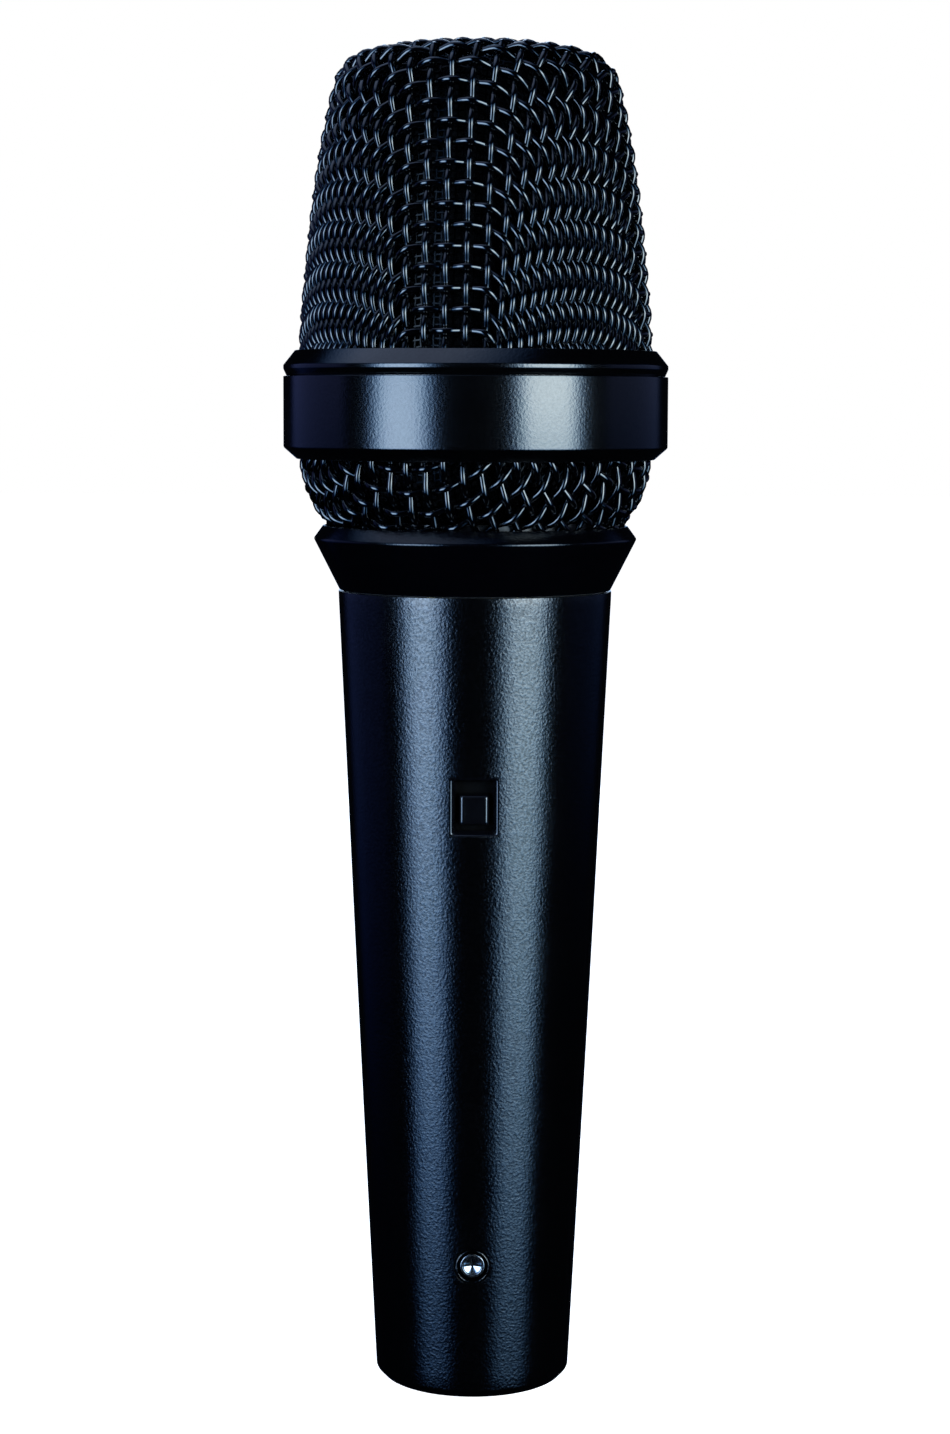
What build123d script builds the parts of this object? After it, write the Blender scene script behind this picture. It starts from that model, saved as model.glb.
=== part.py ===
from build123d import *
import math
import os

# Handheld dynamic microphone. Millimetres. The origin is the centre of the lower rim's
# plane, +Z runs up the axis to the grille, and the switch faces -Y.

# Handle
RIM_RADIUS = 12.3
HANDLE_SIDE = [(13.33, 1.08), (14.51, 24.3), (16.18, 58.1), (17.75, 91.4), (18.52, 107.8)]
HANDLE_TOP = 109.1
HANDLE_SHOULDER = (18.57, 108.85)
WALL = 2.4
SOCKET_BORE = 11.1
SOCKET_BORE_TOP = 24.0
CAVITY_LOW = (12.15, 25.0)
CAVITY_HIGH = (15.6, 98.0)
SLEEVE_SEAT = 16.0

# Screw thread between neck and grille
THREAD_PITCH = 1.0
RIDGE_ROOT_WIDTH = 0.8
RIDGE_CREST_WIDTH = 0.15
MALE_ROOT = 15.95
MALE_CREST = 16.45
FEMALE_ROOT = 16.55
FEMALE_CREST = 16.05
RIDGE_SINK = 0.1
MALE_START = 110.4
MALE_TURNS = 4.5
FEMALE_START = MALE_START + THREAD_PITCH / 2
FEMALE_TURNS = 4.0
SLEEVE_BORE = 14.6
SLEEVE_LOW = 98.1
SLEEVE_TOP = 115.6
GASKET = (16.6, 17.9, 109.15, 109.45)

# Grille, as the outline over the crests of the wires
UPPER_OUTLINE = [
    (24.0, 136.5), (24.0, 139.0), (24.0, 141.45), (23.7, 146.9), (23.2, 152.2),
    (22.67, 157.6), (22.02, 162.9), (21.27, 168.0), (20.25, 173.2), (19.45, 176.6),
    (18.75, 178.5), (17.75, 179.75), (16.3, 180.75), (13.0, 181.6), (9.4, 182.1),
    (4.7, 182.4), (0.0, 182.5),
]
LOWER_OUTLINE = [
    (20.4, 118.0), (20.95, 118.7), (21.95, 119.9), (22.7, 121.4), (23.48, 123.55),
    (23.9, 125.6), (23.95, 126.9), (23.95, 130.0), (23.95, 133.0),
]
MESH_DEPTH = 1.8
LINER_NEAR = 1.85
LINER_FAR = 2.25
MESH_FOOT = (20.4, 116.5)
UPPER_LINER_FOOT = 139.3
LOWER_LINER_TOP = 127.8
UPPER_FOAM_OUTLINE = [
    (21.35, 139.4), (21.25, 143.0), (20.6, 151.0), (19.75, 158.5), (18.5, 167.0),
    (17.1, 174.0), (15.9, 176.9), (13.4, 178.4), (7.0, 179.3), (0.0, 179.6),
]
LOWER_FOAM_OUTLINE = [
    (18.0, 118.75), (18.8, 120.2), (19.9, 122.3), (20.8, 124.8), (21.25, 127.7),
]
FOAM_THICKNESS = 1.8
HOOP = (20.9, 22.1, 128.0, 139.1)
RETAINER = (17.5, 18.5, 116.45, 118.6)

# Collar and bezel
COLLAR_RADIUS = 26.0
COLLAR_LOW = 126.9
COLLAR_CHAMFER_TOP = 128.46
COLLAR_TOP = 138.0
COLLAR_EDGE = 0.1
GROOVE_RADIUS = 25.58
COLLAR_BORE = 24.6
COLLAR_LIP = 24.05
BEZEL_SKIRT = (24.1, 24.5)
BEZEL_SKIRT_LOW = 134.0
BEZEL_EDGE_LOW = 138.96
BEZEL_EDGE_HIGH = 139.5
BEZEL_TOP = 141.45
BEZEL_LAND = 24.4

# Neck flare ring
FLARE = [(18.46, 109.5), (21.94, 116.2), (21.8, 116.55), (20.65, 118.0), (20.45, 118.0)]
FLARE_SEAT = 116.4

# Switch, in the front wall
SWITCH_HEIGHT = 81.5
WINDOW = (6.6, 8.1)
WINDOW_GAP = 0.05
FUNNEL_MOUTH = (6.25, 7.75)
OPENING = (4.9, 6.5)
FUNNEL_FRONT = 17.45
FUNNEL_FLOOR = 16.0
FLANGE = (8.2, 13.0)
POCKET = (8.4, 15.2)
POCKET_FLOOR = 15.3
KNOB_HEIGHT = 81.1
KNOB_BASE = (4.0, 4.2)
KNOB_TOP = (3.45, 3.75)
KNOB_FACE = 17.05
KNOB_WAIST = 16.3
DISH_RADIUS = 11.0
DISH_DEPTH = 0.22
SLIDER = (5.6, 10.6)
SLIDER_FRONT = 14.7
HOUSING = (8.0, 14.0)
HOUSING_FRONT = 14.15
HOUSING_BACK = 9.0
HOUSING_WALL = 1.0
TERMINAL_X = 1.8
TERMINAL_PITCH = 4.0
TERMINAL_TIP = 6.4
BOSS_HEIGHTS = (70.5, 92.5)
BOSS_RADIUS = 2.2
BOSS_FACE = 11.0
BRACKET_SHEET = 0.8
BRACKET_WIDTH = 7.0

# XLR connector
INSERT_RADIUS = 11.0
INSERT_LOW = 0.8
INSERT_TOP = 22.0
CUP_BORE = 8.1
CUP_FLOOR = 15.5
PIN_RADIUS = 1.2
PIN_TIP = 1.2
PIN_CIRCLE = 4.35
PIN_ANGLES = (25.0, 155.0, 270.0)
PIN_SHANK = 0.85
SOLDER_CUP = (0.95, 1.45)
SOLDER_CUP_TOP = 27.0
SOLDER_CUP_FLOOR = 23.2
LOCK_HEIGHT = 18.7
LOCK_HOLE = 2.08
LOCK_COUNTERSINK = 2.45
LOCK_SHANK = 1.2
LOCK_HEAD = 1.65
LOCK_HEAD_SPAN = (11.4, 13.75)
LOCK_TIP = 6.6
LOCK_SLOT = (2.3, 0.55, 1.8)
LOCK_SURFACE = 14.3
LOCK_SINK_DEPTH = 0.45

# Capsule
HOUSING_TUBE = (12.0, 13.2, 134.0, 154.0)
CHAMBER = (10.0, 11.0, 104.0, 133.95)
PORT_HEIGHT = 138.2
PORT_RADIUS = 1.2
PORT_COUNT = 8
YOKE = (9.0, 11.0, 137.0, 148.8)
YOKE_PLATE = 2.0
MAGNET_RADIUS = 7.0
POLE_RADIUS = 7.4
POLE_SPAN = (145.05, 148.0)
COIL = (7.9, 8.5, 145.2, 149.5)
DOME = [(8.5, 149.75), (7.3, 150.6), (5.0, 151.5), (2.5, 152.05), (0.0, 152.2)]
SURROUND = [(8.65, 149.75), (9.2, 150.25), (9.9, 150.45), (10.6, 150.25), (11.15, 149.75)]
FILM = 0.2
CLAMP = (11.2, 11.95, 149.7, 150.7)
CAP = (13.2, 154.05, 156.0)
CAP_SKIRT = (11.0, 11.9, 151.2)

LEAD_RADIUS = 0.55


# ---------------------------------------------------------------- building blocks

def points_3d(profile):
    """Radius-height pairs as points in the XZ plane."""
    return [(radius, 0, height) for radius, height in profile]


def turned(profile):
    """A solid of revolution with these radius-height corners."""
    return revolve(make_face(Polyline(*points_3d(profile), close=True)), Axis.Z)


def tube(inner, outer, low, high):
    """A plain ring."""
    return turned([(inner, low), (outer, low), (outer, high), (inner, high)])


def disc(radius, low, high):
    """A plain round plate."""
    return turned([(0, low), (radius, low), (radius, high), (0, high)])


def block(width, front, back, height_span):
    """A box centred on x, from y=-front to y=-back, over a span of heights."""
    low, high = height_span
    middle = (0, -(front + back) / 2, (low + high) / 2)
    return Pos(*middle) * Box(width, abs(front - back), high - low)


def around(height, size):
    """The span of heights of a feature of this size about a height."""
    return height - size / 2, height + size / 2


def rod_forward(radius, inner, outer, height, x=0.0):
    """A cylinder along Y in the front half, from y=-inner to y=-outer."""
    upright = Pos(0, 0, inner) * Cylinder(
        radius, outer - inner, align=(Align.CENTER, Align.CENTER, Align.MIN)
    )
    return Pos(x, 0, height) * Rot(90, 0, 0) * upright


def inset(profile, depth):
    """A rising profile moved inward along its own normal; points on the axis stay there."""
    moved = []
    for index, (radius, height) in enumerate(profile):
        before = profile[max(index - 1, 0)]
        after = profile[min(index + 1, len(profile) - 1)]
        run = after[0] - before[0]
        rise = after[1] - before[1]
        length = math.hypot(run, rise)
        if radius == 0:
            moved.append((0.0, height - depth))
        else:
            moved.append((radius - depth * rise / length, height + depth * run / length))
    return moved


def skin(profile, near, far):
    """The revolved layer between two depths under a smooth profile."""
    outside = points_3d(inset(profile, near))
    inside = points_3d(inset(profile, far))
    edges = [
        Spline(*outside),
        Line(outside[-1], inside[-1]),
        Spline(*inside),
        Line(inside[0], outside[0]),
    ]
    return revolve(make_face(edges), Axis.Z)


def thread_ridge(root, crest, start, turns):
    """One helical ridge of trapezoid section, right-handed, sunk a little past its root."""
    sunk = root + math.copysign(RIDGE_SINK, root - crest)
    section = Polyline(
        (sunk, 0, start - RIDGE_ROOT_WIDTH / 2),
        (crest, 0, start - RIDGE_CREST_WIDTH / 2),
        (crest, 0, start + RIDGE_CREST_WIDTH / 2),
        (sunk, 0, start + RIDGE_ROOT_WIDTH / 2),
        close=True,
    )
    helix = Helix(pitch=THREAD_PITCH, height=THREAD_PITCH * turns, radius=min(sunk, crest))
    return sweep(make_face(section), path=Pos(0, 0, start) * helix, is_frenet=True)


def lead(*stops):
    """An insulated wire through these points, leaving and arriving vertically."""
    path = Spline(*stops, tangents=[(0, 0, -1), (0, 0, -1)])
    start = Plane(origin=stops[0], z_dir=(0, 0, -1))
    return sweep(start * Circle(LEAD_RADIUS), path=path)


# ---------------------------------------------------------------- handle

def handle_outside():
    """The handle's outside as a full solid."""
    side = points_3d(HANDLE_SIDE)
    top = (HANDLE_SHOULDER[0] - 0.15, 0, HANDLE_TOP)
    edges = [
        Line((0, 0, 0), (RIM_RADIUS, 0, 0)),
        Line((RIM_RADIUS, 0, 0), side[0]),
        Spline(*side),
        Line(side[-1], points_3d([HANDLE_SHOULDER])[0]),
        Line(points_3d([HANDLE_SHOULDER])[0], top),
        Line(top, (0, 0, HANDLE_TOP)),
        Line((0, 0, HANDLE_TOP), (0, 0, 0)),
    ]
    return revolve(make_face(edges), Axis.Z)


def handle_hollow():
    """The space inside the handle: XLR bore, tapered cavity and sleeve seat."""
    return turned([
        (0, -1), (SOCKET_BORE, -1), (SOCKET_BORE, SOCKET_BORE_TOP), CAVITY_LOW,
        CAVITY_HIGH, (SLEEVE_SEAT, CAVITY_HIGH[1]), (SLEEVE_SEAT, HANDLE_TOP + 1),
        (0, HANDLE_TOP + 1),
    ])


def lock_screw_hole():
    """The countersunk hole through which the lock screw is reached."""
    outside = LOCK_SURFACE + 2.7
    floor = LOCK_SURFACE - LOCK_SINK_DEPTH
    hole = rod_forward(LOCK_HOLE, INSERT_RADIUS - 1, outside, LOCK_HEIGHT)
    sink = Pos(0, 0, LOCK_HEIGHT) * Rot(90, 0, 0) * turned([
        (0, floor), (LOCK_HOLE, floor), (LOCK_COUNTERSINK, LOCK_SURFACE),
        (LOCK_COUNTERSINK, outside), (0, outside),
    ])
    return hole + sink


def handle_shell():
    shell = handle_outside() - handle_hollow()
    for height in BOSS_HEIGHTS:
        wall = RIM_RADIUS + (HANDLE_SHOULDER[0] - RIM_RADIUS) * height / HANDLE_TOP
        shell += rod_forward(BOSS_RADIUS, BOSS_FACE, wall - 0.5, height)
        shell -= rod_forward(1.0, BOSS_FACE - 1, BOSS_FACE + 3.2, height)
    shell -= block(WINDOW[0], 20, 12, around(SWITCH_HEIGHT, WINDOW[1]))
    shell -= block(POCKET[0], POCKET_FLOOR, 12, around(SWITCH_HEIGHT, POCKET[1]))
    return shell - lock_screw_hole()


def neck_sleeve():
    body = turned([
        (SLEEVE_BORE, SLEEVE_LOW), (MALE_ROOT, SLEEVE_LOW), (MALE_ROOT, SLEEVE_TOP - 0.1),
        (MALE_ROOT - 0.3, SLEEVE_TOP), (SLEEVE_BORE, SLEEVE_TOP),
    ])
    return body + thread_ridge(MALE_ROOT, MALE_CREST, MALE_START, MALE_TURNS)


# ---------------------------------------------------------------- XLR connector

def pin_place(angle):
    """Where the pin at this angle stands."""
    turn = math.radians(angle)
    return Pos(PIN_CIRCLE * math.cos(turn), PIN_CIRCLE * math.sin(turn), 0)


def xlr_insert():
    body = turned([
        (0, CUP_FLOOR), (CUP_BORE, CUP_FLOOR), (CUP_BORE, INSERT_LOW + 0.6),
        (CUP_BORE + 0.5, INSERT_LOW), (INSERT_RADIUS, INSERT_LOW), (INSERT_RADIUS, INSERT_TOP),
        (0, INSERT_TOP),
    ])
    latch_slot = Pos(0, 8.6, 4.0) * Box(4.4, 2.2, 8.0)
    key_groove = Pos(0, -8.4, 8.0) * Box(1.6, 1.4, 16.0)
    body -= latch_slot
    body -= key_groove
    for angle in PIN_ANGLES:
        body -= pin_place(angle) * disc(PIN_SHANK + 0.05, CUP_FLOOR - 1, INSERT_TOP + 1)
    return body - rod_forward(LOCK_SHANK + 0.05, LOCK_TIP - 0.3, 12, LOCK_HEIGHT)


def xlr_pin(angle):
    cup_inner, cup_outer = SOLDER_CUP
    seat = INSERT_TOP + 0.05
    pin = turned([
        (0, PIN_TIP), (PIN_RADIUS - 0.5, PIN_TIP), (PIN_RADIUS - 0.15, PIN_TIP + 0.25),
        (PIN_RADIUS, PIN_TIP + 0.7), (PIN_RADIUS, CUP_FLOOR - 0.03), (PIN_SHANK, CUP_FLOOR - 0.03),
        (PIN_SHANK, seat), (cup_outer, seat), (cup_outer, SOLDER_CUP_TOP),
        (cup_inner, SOLDER_CUP_TOP), (cup_inner, SOLDER_CUP_FLOOR), (0, SOLDER_CUP_FLOOR),
    ])
    mouth = Pos(2.0, 0, SOLDER_CUP_TOP - 1.2) * Box(3.0, 4.0, 3.0)
    return pin_place(angle) * (pin - mouth)


def xlr_ground_spring():
    thickness = 0.3
    width = 3.0
    shape = Polyline(
        (6.2, 0, INSERT_TOP + 0.05), (10.2, 0, INSERT_TOP + 0.05), (10.9, 0, 26.0),
        (11.85, 0, 28.0), (11.2, 0, 30.0), (11.2 - thickness, 0, 30.0),
        (11.45, 0, 28.05), (10.6, 0, 26.1), (9.95, 0, INSERT_TOP + 0.05 + thickness),
        (6.2, 0, INSERT_TOP + 0.05 + thickness), close=True,
    )
    return extrude(make_face(shape), amount=width / 2, dir=(0, 1, 0), both=True)


def xlr_lock_screw():
    low, high = LOCK_HEAD_SPAN
    screw = turned([
        (0, LOCK_TIP), (LOCK_SHANK - 0.3, LOCK_TIP), (LOCK_SHANK, LOCK_TIP + 0.4), (LOCK_SHANK, low),
        (LOCK_HEAD, low), (LOCK_HEAD, high - 0.45), (LOCK_HEAD - 0.35, high - 0.08), (0, high),
    ])
    for turn in (0, 90):
        screw -= Pos(0, 0, high) * Rot(0, 0, turn) * Box(*LOCK_SLOT)
    return Pos(0, 0, LOCK_HEIGHT) * Rot(90, 0, 0) * screw


# ---------------------------------------------------------------- switch

def facing_rectangle(size, front, height):
    """A rectangle in an XZ plane at y=-front."""
    plane = Plane(origin=(0, -front, height), x_dir=(1, 0, 0), z_dir=(0, -1, 0))
    return plane * Rectangle(*size)


def switch_frame():
    outer = (WINDOW[0] - 2 * WINDOW_GAP, WINDOW[1] - 2 * WINDOW_GAP)
    flange_face = POCKET_FLOOR - WINDOW_GAP
    frame = block(outer[0], 20, 15, around(SWITCH_HEIGHT, outer[1])) & handle_outside()
    frame += block(FLANGE[0], flange_face, flange_face - 0.4, around(SWITCH_HEIGHT, FLANGE[1]))
    funnel = loft([
        facing_rectangle(FUNNEL_MOUTH, FUNNEL_FRONT, SWITCH_HEIGHT),
        facing_rectangle(OPENING, FUNNEL_FLOOR, SWITCH_HEIGHT),
    ])
    frame -= block(OPENING[0], 18, 14, around(SWITCH_HEIGHT, OPENING[1]))
    return frame - funnel


def switch_knob():
    back = SLIDER_FRONT + WINDOW_GAP
    knob = block(KNOB_BASE[0], KNOB_WAIST, back, around(KNOB_HEIGHT, KNOB_BASE[1]))
    knob += loft([
        facing_rectangle(KNOB_BASE, KNOB_WAIST, KNOB_HEIGHT),
        facing_rectangle(KNOB_TOP, KNOB_FACE, KNOB_HEIGHT),
    ])
    dish = Pos(0, -KNOB_FACE - DISH_RADIUS + DISH_DEPTH, KNOB_HEIGHT) * Sphere(DISH_RADIUS)
    return knob - dish


def switch_slider():
    plate = block(SLIDER[0], SLIDER_FRONT, SLIDER_FRONT - 0.45, around(KNOB_HEIGHT, SLIDER[1]))
    stem = block(2.4, SLIDER_FRONT - 0.2, 12.2, around(KNOB_HEIGHT, 2.4))
    carrier = block(5.4, 12.6, 12.1, around(KNOB_HEIGHT, 3.0))
    return plate + stem + carrier


def contact_bridges():
    """Two sprung strips that bridge neighbouring terminals."""
    strips = []
    for side in (-TERMINAL_X, TERMINAL_X):
        arch = Polyline(
            (side, -11.95, KNOB_HEIGHT - 2.6), (side, -11.4, KNOB_HEIGHT - 2.6),
            (side, -11.75, KNOB_HEIGHT), (side, -11.4, KNOB_HEIGHT + 2.6),
            (side, -11.95, KNOB_HEIGHT + 2.6), (side, -12.05, KNOB_HEIGHT), close=True,
        )
        strips.append(extrude(make_face(arch), amount=0.5, dir=(1, 0, 0), both=True))
    return Compound(strips)


def switch_housing():
    box = block(HOUSING[0], HOUSING_FRONT, HOUSING_BACK, around(SWITCH_HEIGHT, HOUSING[1]))
    room = (HOUSING[0] - 2 * HOUSING_WALL, HOUSING[1] - 2 * HOUSING_WALL)
    floor = HOUSING_BACK + HOUSING_WALL
    box -= block(room[0], HOUSING_FRONT + 1, floor, around(SWITCH_HEIGHT, room[1]))
    for x, height in terminal_places():
        box -= rod_forward(0.4, HOUSING_BACK - 1, floor + 1, height, x)
    return box


def terminal_places():
    """The x and height of each of the six terminals."""
    return [
        (x, SWITCH_HEIGHT + step * TERMINAL_PITCH)
        for x in (-TERMINAL_X, TERMINAL_X)
        for step in (-1, 0, 1)
    ]


def switch_terminals():
    posts = []
    for x, height in terminal_places():
        post = rod_forward(0.35, TERMINAL_TIP, 10.2, height, x)
        posts.append(post + rod_forward(0.75, 10.05, 10.4, height, x))
    return Compound(posts)


def switch_bracket():
    """A sheet-metal hat over the back of the switch, with a foot on each boss."""
    foot_face = BOSS_FACE - 0.05
    back = HOUSING_BACK - 0.1
    low, high = around(SWITCH_HEIGHT, HOUSING[1] + 0.3)
    foot_low = BOSS_HEIGHTS[0] - 2.6
    foot_high = BOSS_HEIGHTS[1] + 2.6
    sheet = BRACKET_SHEET
    hat = block(BRACKET_WIDTH, back, back - sheet, (low - sheet, high + sheet))
    hat += block(BRACKET_WIDTH, foot_face, back - sheet, (low - sheet, low))
    hat += block(BRACKET_WIDTH, foot_face, back - sheet, (high, high + sheet))
    hat += block(BRACKET_WIDTH, foot_face, foot_face - sheet, (foot_low, low))
    hat += block(BRACKET_WIDTH, foot_face, foot_face - sheet, (high, foot_high))
    hat -= block(5.4, back + 0.1, back - sheet - 1, around(SWITCH_HEIGHT, 10.6))
    for height in BOSS_HEIGHTS:
        hat -= rod_forward(1.1, 8, 12, height)
    return hat


def switch_bracket_screws():
    screws = []
    under = BOSS_FACE - 0.05 - BRACKET_SHEET - 0.05
    for height in BOSS_HEIGHTS:
        head = rod_forward(1.9, under - 1.1, under, height)
        shank = rod_forward(0.95, under, BOSS_FACE + 2.8, height)
        slot = Pos(0, -(under - 1.1), height) * Box(0.5, 0.9, 3.0)
        screws.append(head + shank - slot)
    return Compound(screws)


# ---------------------------------------------------------------- grille

def neck_gasket():
    return tube(*GASKET)


def neck_flare_ring():
    low = FLARE[0][1]
    body = turned([(FEMALE_ROOT, low)] + FLARE + [
        (FLARE[-1][0], FLARE_SEAT), (FEMALE_ROOT, FLARE_SEAT),
    ])
    return body + thread_ridge(FEMALE_ROOT, FEMALE_CREST, FEMALE_START, FEMALE_TURNS)


def lower_mesh_retainer():
    return tube(*RETAINER)


def lower_grille_mesh():
    foot_radius, foot = MESH_FOOT
    band = skin(LOWER_OUTLINE, 0.0, MESH_DEPTH)
    return band + tube(foot_radius - MESH_DEPTH, foot_radius, foot, LOWER_OUTLINE[0][1] + 0.6)


def lower_liner_screen():
    profile = [point for point in LOWER_OUTLINE if point[1] < LOWER_LINER_TOP]
    return skin(profile + [(LOWER_OUTLINE[-1][0], LOWER_LINER_TOP)], LINER_NEAR, LINER_FAR)


def lower_foam_ring():
    return skin(LOWER_FOAM_OUTLINE, 0.0, FOAM_THICKNESS)


def collar_band():
    lip_top = COLLAR_CHAMFER_TOP - 0.3
    return turned([
        (COLLAR_LIP, COLLAR_LOW), (COLLAR_LIP + 0.15, COLLAR_LOW),
        (COLLAR_RADIUS, COLLAR_CHAMFER_TOP), (COLLAR_RADIUS, COLLAR_TOP - COLLAR_EDGE),
        (COLLAR_RADIUS - COLLAR_EDGE, COLLAR_TOP), (COLLAR_BORE, COLLAR_TOP), (COLLAR_BORE, lip_top),
        (COLLAR_LIP, lip_top),
    ])


def basket_hoop():
    return tube(*HOOP)


def bezel_ring():
    inner, outer = BEZEL_SKIRT
    step = COLLAR_TOP + 0.05
    return turned([
        (inner, BEZEL_SKIRT_LOW), (outer, BEZEL_SKIRT_LOW), (outer, step), (GROOVE_RADIUS, step),
        (COLLAR_RADIUS, BEZEL_EDGE_LOW), (COLLAR_RADIUS, BEZEL_EDGE_HIGH),
        (BEZEL_LAND, BEZEL_TOP), (inner, BEZEL_TOP),
    ])


def upper_grille_mesh():
    return skin(UPPER_OUTLINE, 0.0, MESH_DEPTH)


def upper_liner_screen():
    profile = [point for point in UPPER_OUTLINE if point[1] > UPPER_LINER_FOOT]
    foot = (UPPER_OUTLINE[0][0], UPPER_LINER_FOOT)
    return skin([foot] + profile, LINER_NEAR, LINER_FAR)


def upper_foam_cup():
    return skin(UPPER_FOAM_OUTLINE, 0.0, FOAM_THICKNESS)


# ---------------------------------------------------------------- capsule

def side_ports(radius):
    """Radial drillings for the rear entry, over a ring of this radius."""
    drill = Pos(radius, 0, PORT_HEIGHT) * Rot(0, 90, 0) * Cylinder(PORT_RADIUS, 4.0)
    return [Rot(0, 0, 360 / PORT_COUNT * index) * drill for index in range(PORT_COUNT)]


def capsule_housing():
    inner, outer, low, high = HOUSING_TUBE
    body = turned([
        (CHAMBER[0], low), (outer, low), (outer, high), (inner, high),
        (inner, low + 1.5), (CHAMBER[0], low + 1.5),
    ])
    for port in side_ports(outer):
        body -= port
    return body


def rear_chamber():
    inner, outer, low, high = CHAMBER
    return turned([
        (0, low), (outer, low), (outer, high), (inner, high), (inner, low + 1.2), (0, low + 1.2),
    ])


def shock_mount_boot():
    """An elastomer bellows between the neck sleeve and the capsule."""
    low = SLEEVE_TOP + 0.05
    high = CHAMBER[3] - 0.05
    return turned([
        (11.4, low), (14.4, low), (14.4, low + 1.6), (12.9, low + 2.4), (14.2, low + 5.2),
        (12.9, low + 8.0), (14.2, low + 10.8), (12.9, low + 13.6), (13.2, high - 1.6), (13.2, high),
        (11.4, high), (11.4, high - 1.8), (11.8, high - 2.8), (13.1, low + 10.8),
        (11.8, low + 8.0), (13.1, low + 5.2), (11.8, low + 2.4), (11.4, low + 1.6),
    ])


def yoke_carrier():
    body = tube(YOKE[1] + 0.05, HOUSING_TUBE[0] - 0.05, HOUSING_TUBE[2] + 1.55, CLAMP[2] - FILM - 0.05)
    for port in side_ports(HOUSING_TUBE[0]):
        body -= port
    return body


def yoke_cup():
    inner, outer, low, high = YOKE
    plate = low + YOKE_PLATE
    return turned([
        (1.5, low), (outer, low), (outer, high), (inner, high), (inner, plate), (1.5, plate),
    ])


def magnet():
    return tube(1.5, MAGNET_RADIUS, YOKE[2] + YOKE_PLATE + 0.05, POLE_SPAN[0] - 0.05)


def pole_cap():
    return tube(1.5, POLE_RADIUS, *POLE_SPAN)


def diaphragm_dome():
    return skin(DOME, 0.0, FILM)


def voice_coil():
    return tube(*COIL)


def diaphragm_surround():
    lowered = [(radius, height - FILM) for radius, height in SURROUND]
    return turned(SURROUND + lowered[::-1])


def clamp_ring():
    return tube(*CLAMP)


def resonator_cap():
    radius, low, high = CAP
    inner, outer, skirt = CAP_SKIRT
    cap = disc(radius, low, high) + tube(inner, outer, skirt, low + 0.2)
    for count, circle in ((6, 4.0), (12, 8.2)):
        for hole in PolarLocations(circle, count):
            cap -= hole * disc(0.9, low - 1, high + 1)
    return cap


def front_cloth():
    return disc(11.5, CAP[2] + 0.05, CAP[2] + 0.4)


def rear_port_cloth():
    return tube(HOUSING_TUBE[1] + 0.05, HOUSING_TUBE[1] + 0.45, PORT_HEIGHT - 1.9, PORT_HEIGHT + 1.9)


def terminal_board():
    return disc(9.0, CHAMBER[2] - 1.3, CHAMBER[2] - 0.05)


def terminal_lugs():
    top = CHAMBER[2] - 1.35
    tabs = []
    for side in (-1, 1):
        plate = Pos(side * 3.2, -3.5, top - 0.2) * Box(2.4, 4.0, 0.4)
        tongue = Pos(side * 3.2, -3.5, top - 0.9) * Box(0.4, 1.6, 1.4)
        tabs.append(plate + tongue)
    return Compound(tabs)


# ---------------------------------------------------------------- wiring

LUG_TOP = CHAMBER[2] - 1.35
TERMINAL_END = TERMINAL_TIP - 0.7
PIN_SPOTS = [
    (PIN_CIRCLE * math.cos(math.radians(angle)), PIN_CIRCLE * math.sin(math.radians(angle)))
    for angle in PIN_ANGLES
]


def capsule_lead(side):
    """From a capsule lug down to the switch's upper terminal on the same side."""
    return lead(
        (side * 4.2, -3.5, LUG_TOP - 0.5), (side * 3.9, -3.4, 94.0),
        (side * TERMINAL_X, -TERMINAL_END, SWITCH_HEIGHT + TERMINAL_PITCH - 0.4),
    )


def output_lead(side, pin):
    """From the switch's lower terminal on one side down into a pin's solder cup."""
    x, y = PIN_SPOTS[pin - 1]
    return lead(
        (side * TERMINAL_X, -TERMINAL_END, SWITCH_HEIGHT - TERMINAL_PITCH + 0.4),
        (side * 2.4, -4.2, 68.0), (x * 0.8 + side, y * 0.5, 46.0), (x, y, 31.0),
        (x, y, SOLDER_CUP_FLOOR + 0.3),
    )


def ground_lead():
    """From the neck sleeve's lower edge down into pin 1's solder cup."""
    x, y = PIN_SPOTS[0]
    return lead(
        (14.5, 1.5, SLEEVE_LOW - 0.1), (12.6, 3.5, 84.0), (9.0, 3.5, 55.0), (x, y, 32.0),
        (x, y, SOLDER_CUP_FLOOR + 0.3),
    )


# ---------------------------------------------------------------- writing

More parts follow.
